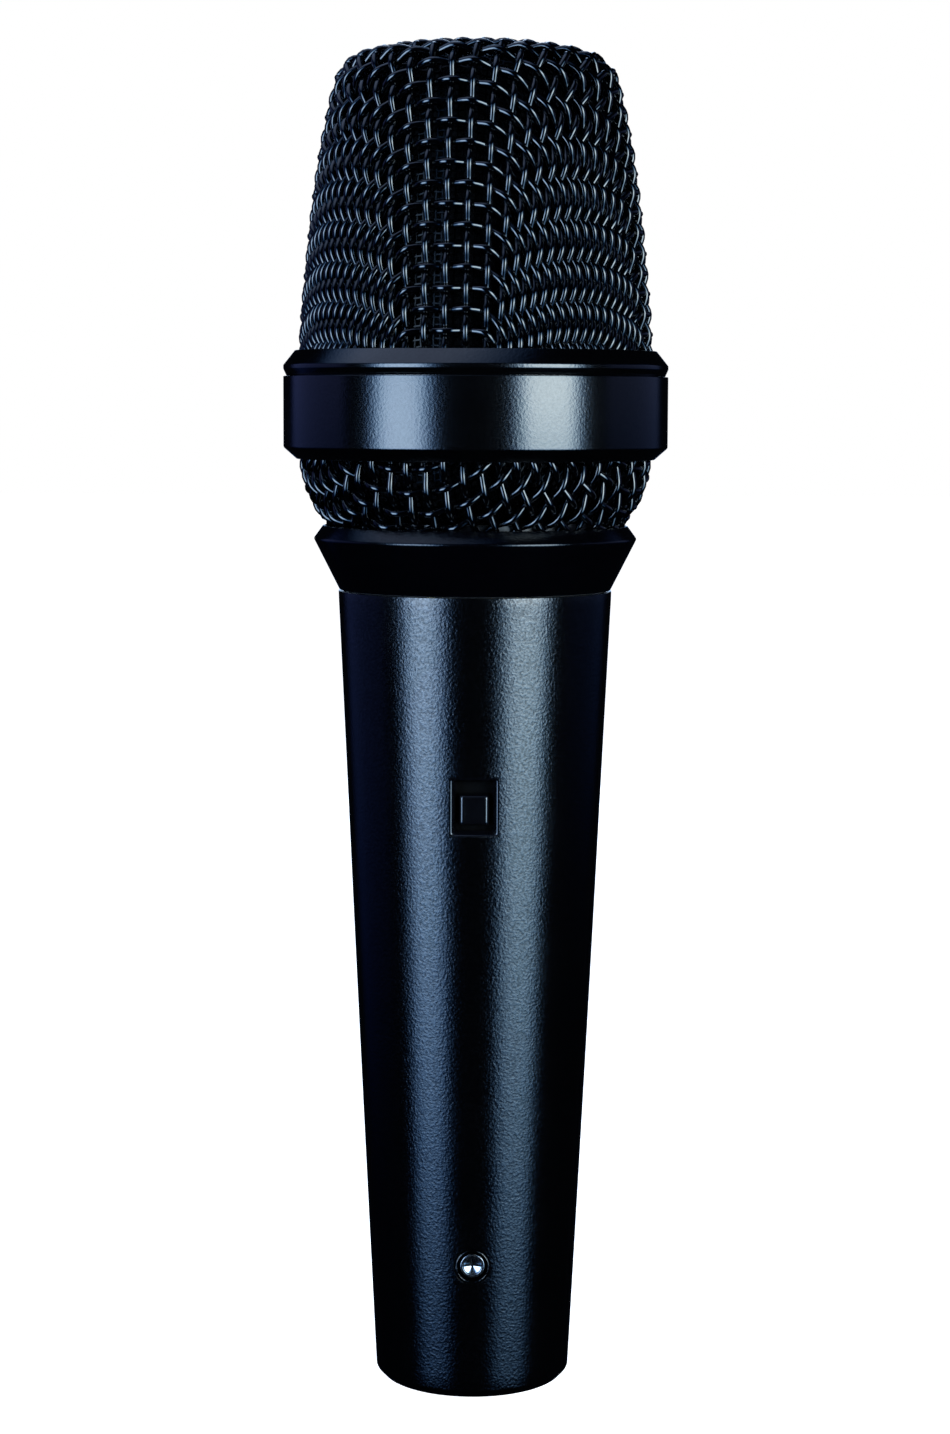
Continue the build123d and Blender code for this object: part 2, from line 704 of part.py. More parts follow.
PARTS = {
    "handle_shell": handle_shell(),
    "neck_sleeve": neck_sleeve(),
    "xlr_insert": xlr_insert(),
    "xlr_pin_1": xlr_pin(PIN_ANGLES[0]),
    "xlr_pin_2": xlr_pin(PIN_ANGLES[1]),
    "xlr_pin_3": xlr_pin(PIN_ANGLES[2]),
    "xlr_ground_spring": xlr_ground_spring(),
    "xlr_lock_screw": xlr_lock_screw(),
    "switch_frame": switch_frame(),
    "switch_knob": switch_knob(),
    "switch_slider": switch_slider(),
    "contact_bridges": contact_bridges(),
    "switch_housing": switch_housing(),
    "switch_terminals": switch_terminals(),
    "switch_bracket": switch_bracket(),
    "switch_bracket_screws": switch_bracket_screws(),
    "neck_gasket": neck_gasket(),
    "neck_flare_ring": neck_flare_ring(),
    "lower_mesh_retainer": lower_mesh_retainer(),
    "lower_grille_mesh": lower_grille_mesh(),
    "lower_liner_screen": lower_liner_screen(),
    "lower_foam_ring": lower_foam_ring(),
    "collar_band": collar_band(),
    "basket_hoop": basket_hoop(),
    "bezel_ring": bezel_ring(),
    "upper_grille_mesh": upper_grille_mesh(),
    "upper_liner_screen": upper_liner_screen(),
    "upper_foam_cup": upper_foam_cup(),
    "capsule_housing": capsule_housing(),
    "rear_chamber": rear_chamber(),
    "shock_mount_boot": shock_mount_boot(),
    "yoke_carrier": yoke_carrier(),
    "yoke_cup": yoke_cup(),
    "magnet": magnet(),
    "pole_cap": pole_cap(),
    "diaphragm_dome": diaphragm_dome(),
    "voice_coil": voice_coil(),
    "diaphragm_surround": diaphragm_surround(),
    "clamp_ring": clamp_ring(),
    "resonator_cap": resonator_cap(),
    "front_cloth": front_cloth(),
    "rear_port_cloth": rear_port_cloth(),
    "terminal_board": terminal_board(),
    "terminal_lugs": terminal_lugs(),
    "capsule_lead_red": capsule_lead(1),
    "capsule_lead_black": capsule_lead(-1),
    "output_lead_hot": output_lead(-1, 2),
    "output_lead_cold": output_lead(1, 3),
    "ground_lead": ground_lead(),
}

for name, shape in PARTS.items():
    export_step(shape, f"parts/{name}.step")
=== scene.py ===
import math

import bmesh
import bpy
import numpy as np
from mathutils import Matrix, Vector


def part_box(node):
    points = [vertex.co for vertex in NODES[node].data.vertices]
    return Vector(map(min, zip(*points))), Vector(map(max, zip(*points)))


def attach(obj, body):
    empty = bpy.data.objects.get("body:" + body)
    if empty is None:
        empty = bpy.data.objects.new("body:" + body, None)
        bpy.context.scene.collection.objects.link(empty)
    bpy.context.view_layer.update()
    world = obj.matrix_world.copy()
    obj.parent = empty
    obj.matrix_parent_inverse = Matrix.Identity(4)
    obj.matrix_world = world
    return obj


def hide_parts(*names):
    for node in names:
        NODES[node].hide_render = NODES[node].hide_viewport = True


MM = 0.001
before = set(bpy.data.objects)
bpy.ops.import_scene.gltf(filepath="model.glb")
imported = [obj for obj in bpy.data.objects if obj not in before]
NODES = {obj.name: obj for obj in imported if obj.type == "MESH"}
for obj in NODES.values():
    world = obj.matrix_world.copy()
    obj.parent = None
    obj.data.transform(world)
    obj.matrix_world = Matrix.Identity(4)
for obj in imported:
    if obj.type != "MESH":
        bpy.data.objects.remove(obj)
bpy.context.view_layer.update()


def envelope(node):
    """A turned node's largest radius, foot and top, in millimetres."""
    low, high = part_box(node)
    return high[0] / MM, low[2] / MM, high[2] / MM


def middle(node):
    """The height of a node's middle, in millimetres."""
    low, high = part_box(node)
    return (low[2] + high[2]) / 2 / MM


def front_size(node):
    """A node's width and height seen from the front, in millimetres."""
    low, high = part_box(node)
    return (high[0] - low[0]) / MM, (high[2] - low[2]) / MM


HANDLE_RADIUS, HANDLE_FOOT, HANDLE_TOP = envelope("handle_shell")
FLARE_RADIUS, FLARE_FOOT, FLARE_TOP = envelope("neck_flare_ring")
LOWER_RADIUS, _, LOWER_TOP = envelope("lower_grille_mesh")
COLLAR_RADIUS, COLLAR_FOOT, COLLAR_TOP = envelope("collar_band")
BEZEL_RADIUS, BEZEL_FOOT, BEZEL_TOP = envelope("bezel_ring")
UPPER_RADIUS, UPPER_FOOT, CROWN = envelope("upper_grille_mesh")
SWITCH_Z = middle("switch_frame")
KNOB_Z = middle("switch_knob")
SCREW_Z = middle("xlr_lock_screw")
KNOB_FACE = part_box("switch_knob")[0][1] / MM
FLANGE_WIDTH, FLANGE_HEIGHT = front_size("switch_frame")
KNOB_WIDTH, KNOB_HEIGHT = front_size("switch_knob")

# Outlines over the wire crests: radius with drop below the crown, or with rise above the flare's top
UPPER = [(r, CROWN - drop) for r, drop in (
    (0.0, 0.0), (4.7, 0.1), (9.4, 0.4), (13.0, 0.9), (16.3, 1.75), (17.75, 2.75), (18.75, 4.0),
    (19.45, 5.9), (20.25, 9.3), (21.27, 14.5), (22.02, 19.6), (22.67, 24.9), (23.2, 30.3),
    (23.7, 35.6), (UPPER_RADIUS, 41.05), (UPPER_RADIUS, CROWN - UPPER_FOOT),
)]
LOWER = [(r, FLARE_TOP + rise) for r, rise in (
    (20.35, 0.0), (20.85, 0.7), (21.75, 1.9), (22.55, 3.4), (23.38, 5.55), (23.85, 7.6),
    (LOWER_RADIUS, 9.5), (LOWER_RADIUS, LOWER_TOP - FLARE_TOP),
)]
WIRE = 0.45  # wire radius
CREST_TO_CENTRE = 2 * WIRE
WIRE_SIDES = 10
WIRE_SAMPLES = 5  # centre points from one crossing to the next
UPPER_MIDDLE = 150.0  # a height inside the upper basket
CRIMP = 0.98  # how far a wire swings at a crossing, in wire radii
UPPER_PITCH = 2.73
UPPER_TURN = -10.0
LOWER_PITCH = 2.5
LOWER_TURN = -22.6
LOWER_SQUEEZE = 0.8  # the lower net is laid on a flatter form, then stretched upright
BOWL_DEPTH = 7.5  # the unseen bowl that the lower net starts from
BOWL_CURVE = 0.93
JAMMED = 1.5  # the shortest a sheared cell's diagonal gets
NET_REACH = 60  # more crossings than any wire has from the net's apex
NET_STAGES = ((400, 0.5, 0.2), (500, 1.0, 0.06), (700, 1.0, 0.02))  # steps, stiffness, bending
CURVE_STEP = 0.12
SCREEN_WIRE = 0.13
SCREEN_SIDES = 4
SCREEN_DEPTH = 1.2  # under the basket's own centre surface
SCREEN_PARTS = 3  # screen wires to one basket cell
SCREEN_REACH = 26 * SCREEN_PARTS


# -------------------- node materials
# Noise scales count features to the metre. Relief depths are in millimetres.

WAVE_DEPTH = 0.2
RING_DEPTH = 0.02
PEEL_SCALE, PEEL_DEPTH = 1100.0, 0.01
POWDER_SCALE, POWDER_DEPTH = 2900.0, 0.1
RUB_SCALE, RUB_SWING = 90.0, 0.02


class Nodes:
    """A small builder for one material's node tree."""

    def __init__(self, name):
        self.material = bpy.data.materials.new(name)
        self.material.use_nodes = True
        self.tree = self.material.node_tree
        self.tree.nodes.clear()
        self.out = self.tree.nodes.new("ShaderNodeOutputMaterial")
        self.shader = self.tree.nodes.new("ShaderNodeBsdfPrincipled")
        self.link(self.shader, "BSDF", self.out, "Surface")
        self.place = self.tree.nodes.new("ShaderNodeTexCoord")

    def add(self, kind, **values):
        node = self.tree.nodes.new(kind)
        for key, value in values.items():
            if key in node.inputs:
                node.inputs[key].default_value = value
            else:
                setattr(node, key, value)
        return node

    def link(self, a, out, b, into):
        self.tree.links.new(a.outputs[out], b.inputs[into])

    def math(self, operation, *sources):
        """A math node fed by numbers or (node, output) pairs."""
        node = self.add("ShaderNodeMath", operation=operation)
        for slot, source in enumerate(sources):
            if isinstance(source, tuple):
                self.link(source[0], source[1], node, slot)
            else:
                node.inputs[slot].default_value = source
        return node

    def noise(self, scale, detail=3.0):
        node = self.add("ShaderNodeTexNoise", Scale=scale, Detail=detail, Roughness=0.55)
        self.link(self.place, "Object", node, "Vector")
        return node

    def ramp(self, source, out, low, high, first, last):
        """Maps a value between low and high onto first to last."""
        node = self.add("ShaderNodeMapRange")
        ends = (("From Min", low), ("From Max", high), ("To Min", first), ("To Max", last))
        for end, value in ends:
            node.inputs[end].default_value = value
        self.link(source, out, node, "Value")
        return node

    def mix(self, factor, factor_out, first, second):
        node = self.add("ShaderNodeMix", data_type="RGBA")
        self.link(factor, factor_out, node, "Factor")
        node.inputs["A"].default_value = (*first, 1)
        node.inputs["B"].default_value = (*second, 1)
        return node

    def bump(self, source, out, strength, distance, after=None):
        node = self.add("ShaderNodeBump", Strength=strength, Distance=distance)
        self.link(source, out, node, "Height")
        if after is not None:
            self.link(after, "Normal", node, "Normal")
        return node


def finish_material(name, base, rough, grain=2500.0, grain_bump=0.12, grain_depth=0.02,
                    wave=350.0, wave_bump=0.05, tint=0.25, rough_swing=0.06, specular=0.5,
                    sheen=0.0):
    """A non-metal whose colour, roughness and relief all vary a little, at two scales."""
    n = Nodes(name)
    fine = n.noise(grain, 2.0)
    broad = n.noise(wave, 4.0)
    dark = tuple(c * (1 - tint) for c in base)
    light = tuple(min(1.0, c * (1 + tint)) for c in base)
    colour = n.mix(broad, "Fac", dark, light)
    n.link(colour, "Result", n.shader, "Base Color")
    swing = n.ramp(broad, "Fac", 0.3, 0.7, max(0.02, rough - rough_swing), rough + rough_swing)
    n.link(swing, "Result", n.shader, "Roughness")
    first = n.bump(broad, "Fac", wave_bump, WAVE_DEPTH * MM)
    second = n.bump(fine, "Fac", grain_bump, grain_depth * MM, first)
    n.link(second, "Normal", n.shader, "Normal")
    n.shader.inputs["Specular IOR Level"].default_value = specular
    n.shader.inputs["Sheen Weight"].default_value = sheen
    return n.material


def turned_metal(name, base, rough, rings=9000.0):
    """Lathe-turned metal: fine rings about the axis, over a broad change of tone."""
    n = Nodes(name)
    split = n.add("ShaderNodeSeparateXYZ")
    n.link(n.place, "Object", split, "Vector")
    comb = n.add("ShaderNodeCombineXYZ")
    n.link(split, "Z", comb, "Z")
    lines = n.add("ShaderNodeTexNoise", Scale=rings, Detail=3.0)
    n.link(comb, "Vector", lines, "Vector")
    broad = n.noise(400.0)
    dark = tuple(c * 0.82 for c in base)
    light = tuple(min(1, c * 1.1) for c in base)
    colour = n.mix(broad, "Fac", dark, light)
    n.link(colour, "Result", n.shader, "Base Color")
    swing = n.ramp(lines, "Fac", 0.3, 0.7, rough * 0.75, rough * 1.3)
    n.link(swing, "Result", n.shader, "Roughness")
    relief = n.bump(lines, "Fac", 0.15, RING_DEPTH * MM)
    n.link(relief, "Normal", n.shader, "Normal")
    n.shader.inputs["Metallic"].default_value = 1.0
    return n.material


def paint(name, base, rough, grain_bump, specular, speckle):
    """Sprayed satin enamel: orange peel, a finer powder grain and slightly rubbed high spots.

    The speckle is the share by which the powder grain raises and lowers the shine.
    """
    n = Nodes(name)
    peel = n.noise(PEEL_SCALE, 3.0)
    powder = n.noise(POWDER_SCALE, 2.0)
    broad = n.noise(RUB_SCALE, 5.0)
    rubbed = n.ramp(powder, "Fac", 0.45, 0.8, 0.0, 1.0)
    colour = n.mix(rubbed, "Result", base, tuple(c * 2.5 for c in base))
    n.link(colour, "Result", n.shader, "Base Color")
    swing = n.ramp(broad, "Fac", 0.3, 0.7, rough - RUB_SWING, rough + RUB_SWING)
    n.link(swing, "Result", n.shader, "Roughness")
    first = n.bump(peel, "Fac", grain_bump, PEEL_DEPTH * MM)
    second = n.bump(powder, "Fac", grain_bump, POWDER_DEPTH * MM, first)
    n.link(second, "Normal", n.shader, "Normal")
    shine = n.ramp(powder, "Fac", 0.3, 0.7, specular * (1 - speckle), specular * (1 + speckle))
    n.link(shine, "Result", n.shader, "Specular IOR Level")
    return n.material


BODY_PAINT = paint(
    "body_paint", (0.0003, 0.0003, 0.0004), 0.16, grain_bump=0.4, specular=0.42, speckle=0.42,
)
RING_PAINT = paint(
    "ring_paint", (0.0003, 0.0003, 0.0006), 0.17, grain_bump=0.2, specular=0.3, speckle=0.2,
)
COLLAR_PAINT = paint(
    "collar_paint", (0.0003, 0.0003, 0.0004), 0.16, grain_bump=0.2, specular=0.5, speckle=0.08,
)
WIRE_PAINT = finish_material(
    "wire_paint", (0.0004, 0.0004, 0.0006), 0.05, grain=3000, grain_bump=0.02, wave=900,
    wave_bump=0.01, rough_swing=0.02, specular=0.52,
)
LINER_PAINT = finish_material(
    "liner_paint", (0.0004, 0.0004, 0.0006), 0.2, grain=4000, grain_bump=0.3, wave=900,
    wave_bump=0.2, specular=0.08,
)
FOAM = finish_material(
    "foam", (0.0015, 0.0015, 0.0018), 0.95, grain=1800, grain_bump=0.9, grain_depth=0.3, wave=700,
    wave_bump=0.5, tint=0.6, specular=0.1,
)
SWITCH_PLASTIC = finish_material(
    "switch_plastic", (0.0015, 0.0015, 0.002), 0.16, grain=4200, grain_bump=0.05, wave=500,
    wave_bump=0.02, specular=0.6,
)
FRAME_PLASTIC = finish_material(
    "frame_plastic", (0.0012, 0.0012, 0.0018), 0.20, grain=4200, grain_bump=0.05, wave=500,
    wave_bump=0.02, specular=0.55,
)
MOULDED = finish_material(
    "moulded_black", (0.004, 0.004, 0.005), 0.5, grain=2600, grain_bump=0.15, wave=400, specular=0.3,
)
RUBBER = finish_material(
    "rubber", (0.010, 0.010, 0.010), 0.75, grain=2000, grain_bump=0.2, wave=300, specular=0.3,
)
MATT_BLACK = finish_material(
    "matt_black", (0.001, 0.001, 0.001), 0.85, grain=2600, grain_bump=0.3, wave=400, specular=0.06,
)
BLACKED_STEEL = finish_material(
    "blacked_steel", (0.003, 0.003, 0.004), 0.35, grain=3200, grain_bump=0.12, wave=500, specular=0.4,
)
STEEL = turned_metal("steel", (0.42, 0.43, 0.45), 0.28)
SCREW_STEEL = turned_metal("screw_steel", (0.42, 0.43, 0.45), 0.2)
BRASS = turned_metal("brass", (0.62, 0.47, 0.20), 0.26)
SILVERED = turned_metal("silvered", (0.75, 0.73, 0.68), 0.20)
ALUMINIUM = turned_metal("aluminium", (0.62, 0.62, 0.61), 0.3)
IRON = turned_metal("iron", (0.26, 0.26, 0.27), 0.38)
COPPER = turned_metal("copper", (0.62, 0.25, 0.10), 0.3, rings=16000)
FILM = finish_material("film", (0.55, 0.50, 0.36), 0.2, grain=900, wave=250, specular=0.6)
CLOTH = finish_material(
    "felt", (0.05, 0.05, 0.055), 0.9, grain=3500, grain_bump=0.8, grain_depth=0.15, wave=900,
    wave_bump=0.4, sheen=0.4,
)
LAMINATE = finish_material("laminate", (0.20, 0.11, 0.035), 0.5, grain=1500, wave=250)
LEADS = {
    "capsule_lead_red": (0.35, 0.01, 0.01),
    "capsule_lead_black": (0.01, 0.01, 0.01),
    "output_lead_hot": (0.42, 0.06, 0.01),
    "output_lead_cold": (0.01, 0.02, 0.26),
    "ground_lead": (0.01, 0.14, 0.03),
}


# -------------------- mesh helpers

def new_object(name, verts, faces, material, smooth=35.0):
    """An object from vertices in metres and faces."""
    mesh = bpy.data.meshes.new(name)
    mesh.from_pydata([tuple(v) for v in verts], [], [tuple(f) for f in faces])
    mesh.validate()
    return settle(name, mesh, material, smooth)


def settle(name, mesh, material, smooth=35.0):
    """Puts a finished mesh in the scene, with outward faces and smooth shading below an angle."""
    bm = bmesh.new()
    bm.from_mesh(mesh)
    bmesh.ops.recalc_face_normals(bm, faces=bm.faces)
    bm.to_mesh(mesh)
    bm.free()
    mesh.shade_smooth()
    mesh.set_sharp_from_angle(angle=math.radians(smooth))
    mesh.materials.clear()
    mesh.materials.append(material)
    obj = bpy.data.objects.new(name, mesh)
    bpy.context.scene.collection.objects.link(obj)
    return obj


def place_piece(obj, body, node):
    """Lets a piece ride on a body in the place of a CAD node, and hides that node."""
    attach(obj, body)
    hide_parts(node)


def baked(obj, name):
    """A copy of obj with its modifiers applied."""
    graph = bpy.context.evaluated_depsgraph_get()
    mesh = bpy.data.meshes.new_from_object(obj.evaluated_get(graph))
    mesh.name = name
    return mesh


def rounded(corners, steps=4):
    """A closed profile whose corners (radius, height, fillet) are rounded by their fillets."""
    result = []
    count = len(corners)
    for k in range(count):
        x, y, fillet = corners[k]
        before = np.array(corners[k - 1][:2], float)
        after = np.array(corners[(k + 1) % count][:2], float)
        here = np.array((x, y), float)
        if fillet <= 0:
            result.append((x, y))
            continue
        a = (before - here) / np.linalg.norm(before - here)
        b = (after - here) / np.linalg.norm(after - here)
        for step in range(steps + 1):
            t = step / steps
            p = here + fillet * ((1 - t) ** 2 * a + t ** 2 * b)
            result.append(tuple(p))
    return result


def lathe(name, profile, material, segments, smooth=35.0):
    """A closed ring: the closed profile (millimetres) turned about Z."""
    verts = []
    for angle in np.linspace(0, 2 * math.pi, segments, endpoint=False):
        c, s = math.cos(angle), math.sin(angle)
        verts.extend((r * c * MM, r * s * MM, z * MM) for r, z in profile)
    return new_object(name, verts, wrapped(segments, len(profile)), material, smooth)


def wrapped(turns, count):
    """The faces of a closed profile of count points, repeated round a full turn."""
    faces = []
    for k in range(turns):
        n = (k + 1) % turns
        for i in range(count):
            j = (i + 1) % count
            faces.append((k * count + i, n * count + i, n * count + j, k * count + j))
    return faces


def rounded_loop(width, height, corner, turns=5, splits=9):
    """Points round a rectangle with rounded corners, in order, from its lower right."""
    half_w, half_h = width / 2 - corner, height / 2 - corner
    loop = []
    for quarter, (sx, sz) in enumerate(((1, -1), (1, 1), (-1, 1), (-1, -1))):
        for step in range(turns + 1):
            a = math.radians(90 * (quarter - 1) + 90 * step / turns)
            loop.append((sx * half_w + corner * math.cos(a), sz * half_h + corner * math.sin(a)))
        here = loop[-1]
        sx, sz = ((1, 1), (-1, 1), (-1, -1), (1, -1))[quarter]
        if quarter % 2:
            there = (sx * half_w, here[1])
        else:
            there = (here[0], sz * half_h)
        for step in range(1, splits):
            t = step / splits
            loop.append((here[0] + (there[0] - here[0]) * t, here[1] + (there[1] - here[1]) * t))
    return loop


def skin_loops(name, loops, material, smooth, closed):
    """A skin over matching loops of points: a closed ring, or capped at both ends."""
    verts = [(x * MM, y * MM, z * MM) for loop in loops for x, y, z in loop]
    n = len(loops[0])
    faces = []
    for row in range(len(loops) if closed else len(loops) - 1):
        a, b = row * n, ((row + 1) % len(loops)) * n
        for k in range(n):
            m = (k + 1) % n
            faces.append((a + k, a + m, b + m, b + k))
    if not closed:
        faces.append(tuple(range(n)))
        faces.append(tuple(range(len(verts) - n, len(verts))))
    return new_object(name, verts, faces, material, smooth)


def smooth_curve(points, step=CURVE_STEP):
    """A smooth curve through the points, evenly sampled."""
    p = np.array(points, float)
    d = np.r_[0, np.cumsum(np.hypot(*np.diff(p, axis=0).T))]
    t = np.linspace(0, d[-1], max(3, int(d[-1] / step)))
    m = np.zeros_like(p)
    m[1:-1] = (p[2:] - p[:-2]) / (d[2:] - d[:-2])[:, None]
    m[0] = (p[1] - p[0]) / (d[1] - d[0])
    m[-1] = (p[-1] - p[-2]) / (d[-1] - d[-2])
    k = np.clip(np.searchsorted(d, t, side="right") - 1, 0, len(p) - 2)
    h = (d[k + 1] - d[k])[:, None]
    u = ((t - d[k]) / (d[k + 1] - d[k]))[:, None]
    return (
        (2 * u**3 - 3 * u**2 + 1) * p[k] + (u**3 - 2 * u**2 + u) * h * m[k]
        + (3 * u**2 - 2 * u**3) * p[k + 1] + (u**3 - u**2) * h * m[k + 1]
    )


# -------------------- woven wire baskets

class Surface:
    """A surface of revolution at a depth under an outline that starts on the axis.

    It runs out upright past the outline's end, and its heights can be squeezed. Arc length s and
    angle phi find a point on it.
    """

    def __init__(self, outline, depth, squeeze=1.0, run_out=6.0):
        curve = smooth_curve(outline)
        tangent = np.gradient(curve, axis=0)
        tangent /= np.linalg.norm(tangent, axis=1)[:, None]
        rising = 1.0 if curve[-1, 1] > curve[0, 1] else -1.0
        inward = np.c_[-tangent[:, 1], tangent[:, 0]] * rising
        curve = curve + inward * depth
        curve[0, 0] = 0.0
        direction = np.array((0.0, rising))
        tail_steps = np.arange(1, int(run_out / CURVE_STEP))[:, None]
        tail = curve[-1] + tail_steps * CURVE_STEP * direction
        curve = np.r_[curve, tail]
        curve[:, 1] *= squeeze
        self.q = curve
        self.s = np.r_[0, np.cumsum(np.hypot(*np.diff(curve, axis=0).T))]

    def point(self, s, phi):
        r = np.interp(s, self.s, self.q[:, 0])
        z = np.interp(s, self.s, self.q[:, 1])
        return np.array((r * math.cos(phi), r * math.sin(phi), z))

    def project(self, p):
        radius = np.hypot(p[:, 0], p[:, 1])
        near = (self.q[None, :, 0] - radius[:, None]) ** 2 + (self.q[None, :, 1] - p[:, 2:3]) ** 2
        k = np.argmin(near, axis=1)
        a = self.q[np.clip(k - 1, 0, len(self.q) - 1)]
        b = self.q[np.clip(k + 1, 0, len(self.q) - 1)]
        t = (b - a) / np.linalg.norm(b - a, axis=1)[:, None]
        here = self.q[k]
        off = (radius - here[:, 0]) * t[:, 0] + (p[:, 2] - here[:, 1]) * t[:, 1]
        here = here + off[:, None] * t
        scale = here[:, 0] / np.maximum(radius, 1e-9)
        return np.stack([p[:, 0] * scale, p[:, 1] * scale, here[:, 1]], -1)


def fishnet(surface, pitch):
    """One quadrant of an inextensible net laid from the apex: node (i, j) to arc length, angle."""
    def axis_line(phi):
        line, s = [(0.0, phi)], 0.0
        while True:
            start, t = surface.point(s, phi), s + pitch
            for _ in range(12):
                t -= np.linalg.norm(surface.point(t, phi) - start) - pitch
            s = t
            if s > surface.s[-1]:
                return line
            line.append((s, phi))

    nodes = {}
    for i, node in enumerate(axis_line(0.0)):
        nodes[i, 0] = node
    for j, node in enumerate(axis_line(math.pi / 2)):
        nodes[0, j] = node
    for i in range(1, NET_REACH):
        for j in range(1, NET_REACH):
            if (i - 1, j) not in nodes or (i, j - 1) not in nodes:
                break
            a = surface.point(*nodes[i - 1, j])
            b = surface.point(*nodes[i, j - 1])
            guess = a + b - surface.point(*nodes[i - 1, j - 1])
            found = meet(surface, a, b, pitch, guess)
            if found is None:
                break
            nodes[i, j] = found
    return nodes


def meet(surface, a, b, pitch, guess):
    """The point of the surface one pitch from both a and b, nearest the guess."""
    radius = math.hypot(guess[0], guess[1])
    phi = math.atan2(guess[1], guess[0])
    near = (surface.q[:, 0] - radius) ** 2 + (surface.q[:, 1] - guess[2]) ** 2
    s = surface.s[int(np.argmin(near))]
    for _ in range(30):
        p = surface.point(s, phi)
        miss = np.array([np.linalg.norm(p - a) - pitch, np.linalg.norm(p - b) - pitch])
        if abs(miss).max() < 1e-6:
            return (s, phi) if s < surface.s[-1] - 0.05 else None
        along = (surface.point(s + 1e-3, phi) - surface.point(s - 1e-3, phi)) / 2e-3
        round_ = np.array((-p[1], p[0], 0.0))
        ua, ub = (p - a) / np.linalg.norm(p - a), (p - b) / np.linalg.norm(p - b)
        jac = np.array([[ua @ along, ua @ round_], [ub @ along, ub @ round_]])
        try:
            step = np.linalg.solve(jac, -miss)
        except np.linalg.LinAlgError:
            return None
        size = max(abs(step[0]), abs(step[1]) * max(radius, 1e-3))
        if size > 0.8:
            step *= 0.8 / size
        s, phi = s + step[0], phi + step[1]
    return None


def net_links(keys, index):
    """What holds the net's nodes together, as rows of node numbers.

    They are the sides of its cells, their short diagonals, each node with its two neighbours on a
    wire, and each node of an edge wire with its neighbour inward and the mirror that continues it.
    """
    seg, short, fair, rim = [], [], [], []
    for i, j in keys:
        here = index[i, j]
        if (i + 1, j) in index:
            seg.append((here, index[i + 1, j]))
        if (i, j + 1) in index:
            seg.append((here, index[i, j + 1]))
        if (i + 1, j) in index and (i, j + 1) in index:
            short.append((index[i + 1, j], index[i, j + 1]))
        for a, b in (((i - 1, j), (i + 1, j)), ((i, j - 1), (i, j + 1))):
            if a in index and b in index:
                fair.append((here, index[a], index[b]))
        if j == 0 and i > 0 and (i, 1) in index:
            rim.append((here, index[i, 1], 1, 0))
        if i == 0 and j > 0 and (1, j) in index:
            rim.append((here, index[1, j], 0, 1))
    return (np.array(links) for links in (seg, short, fair, rim))


def drawn_net(surface, pitch):
    """The net after drawing: wires keep their pitch, sheared cells jam, and wires stay fair."""
    nodes = fishnet(surface, pitch)
    keys = sorted(nodes)
    index = {key: m for m, key in enumerate(keys)}
    p = np.array([surface.point(*nodes[key]) for key in keys])
    seg, short, fair, rim = net_links(keys, index)
    keep = np.c_[rim[:, 2], rim[:, 3], np.ones(len(rim))]
    twin = np.array([index.get((j, i), index[i, j]) for i, j in keys])
    paired = np.array([(j, i) in index for i, j in keys])
    on_u = np.array([key[1] == 0 for key in keys])
    on_v = np.array([key[0] == 0 for key in keys])
    for steps, stiff, bend in NET_STAGES:
        for _ in range(steps):
            move = np.zeros_like(p)
            weight = np.zeros(len(p))
            for pairs, rest, push in ((seg, pitch, stiff), (short, JAMMED, 1.0)):
                v = p[pairs[:, 1]] - p[pairs[:, 0]]
                length = np.linalg.norm(v, axis=1)
                pull = np.full(len(pairs), push)
                if pairs is short:
                    pull[length >= JAMMED] = 0.0
                c = ((length - rest) / np.maximum(length, 1e-6) * 0.5 * pull)[:, None] * v
                np.add.at(move, pairs[:, 0], c)
                np.add.at(move, pairs[:, 1], -c)
                np.add.at(weight, pairs[:, 0], pull)
                np.add.at(weight, pairs[:, 1], pull)
            bow = ((p[fair[:, 1]] + p[fair[:, 2]]) / 2 - p[fair[:, 0]]) * bend
            for column, share in ((0, 1.0), (1, -0.5), (2, -0.5)):
                np.add.at(move, fair[:, column], bow * share)
                np.add.at(weight, fair[:, column], bend * abs(share))
            bow = (p[rim[:, 1]] * keep - p[rim[:, 0]]) * bend
            for column, share in ((0, 1.0), (1, -0.5)):
                np.add.at(move, rim[:, column], bow * share)
                np.add.at(weight, rim[:, column], bend * abs(share))
            p = p + move / np.maximum(weight, 1e-9)[:, None]
            mirrored = p[twin][:, [1, 0, 2]]
            p = np.where(paired[:, None], (p + mirrored) / 2, p)
            p[on_u, 1] = 0
            p[on_v, 0] = 0
            p = surface.project(p)
            p[on_u & on_v, :2] = 0
    return {key: p[m] for key, m in index.items()}


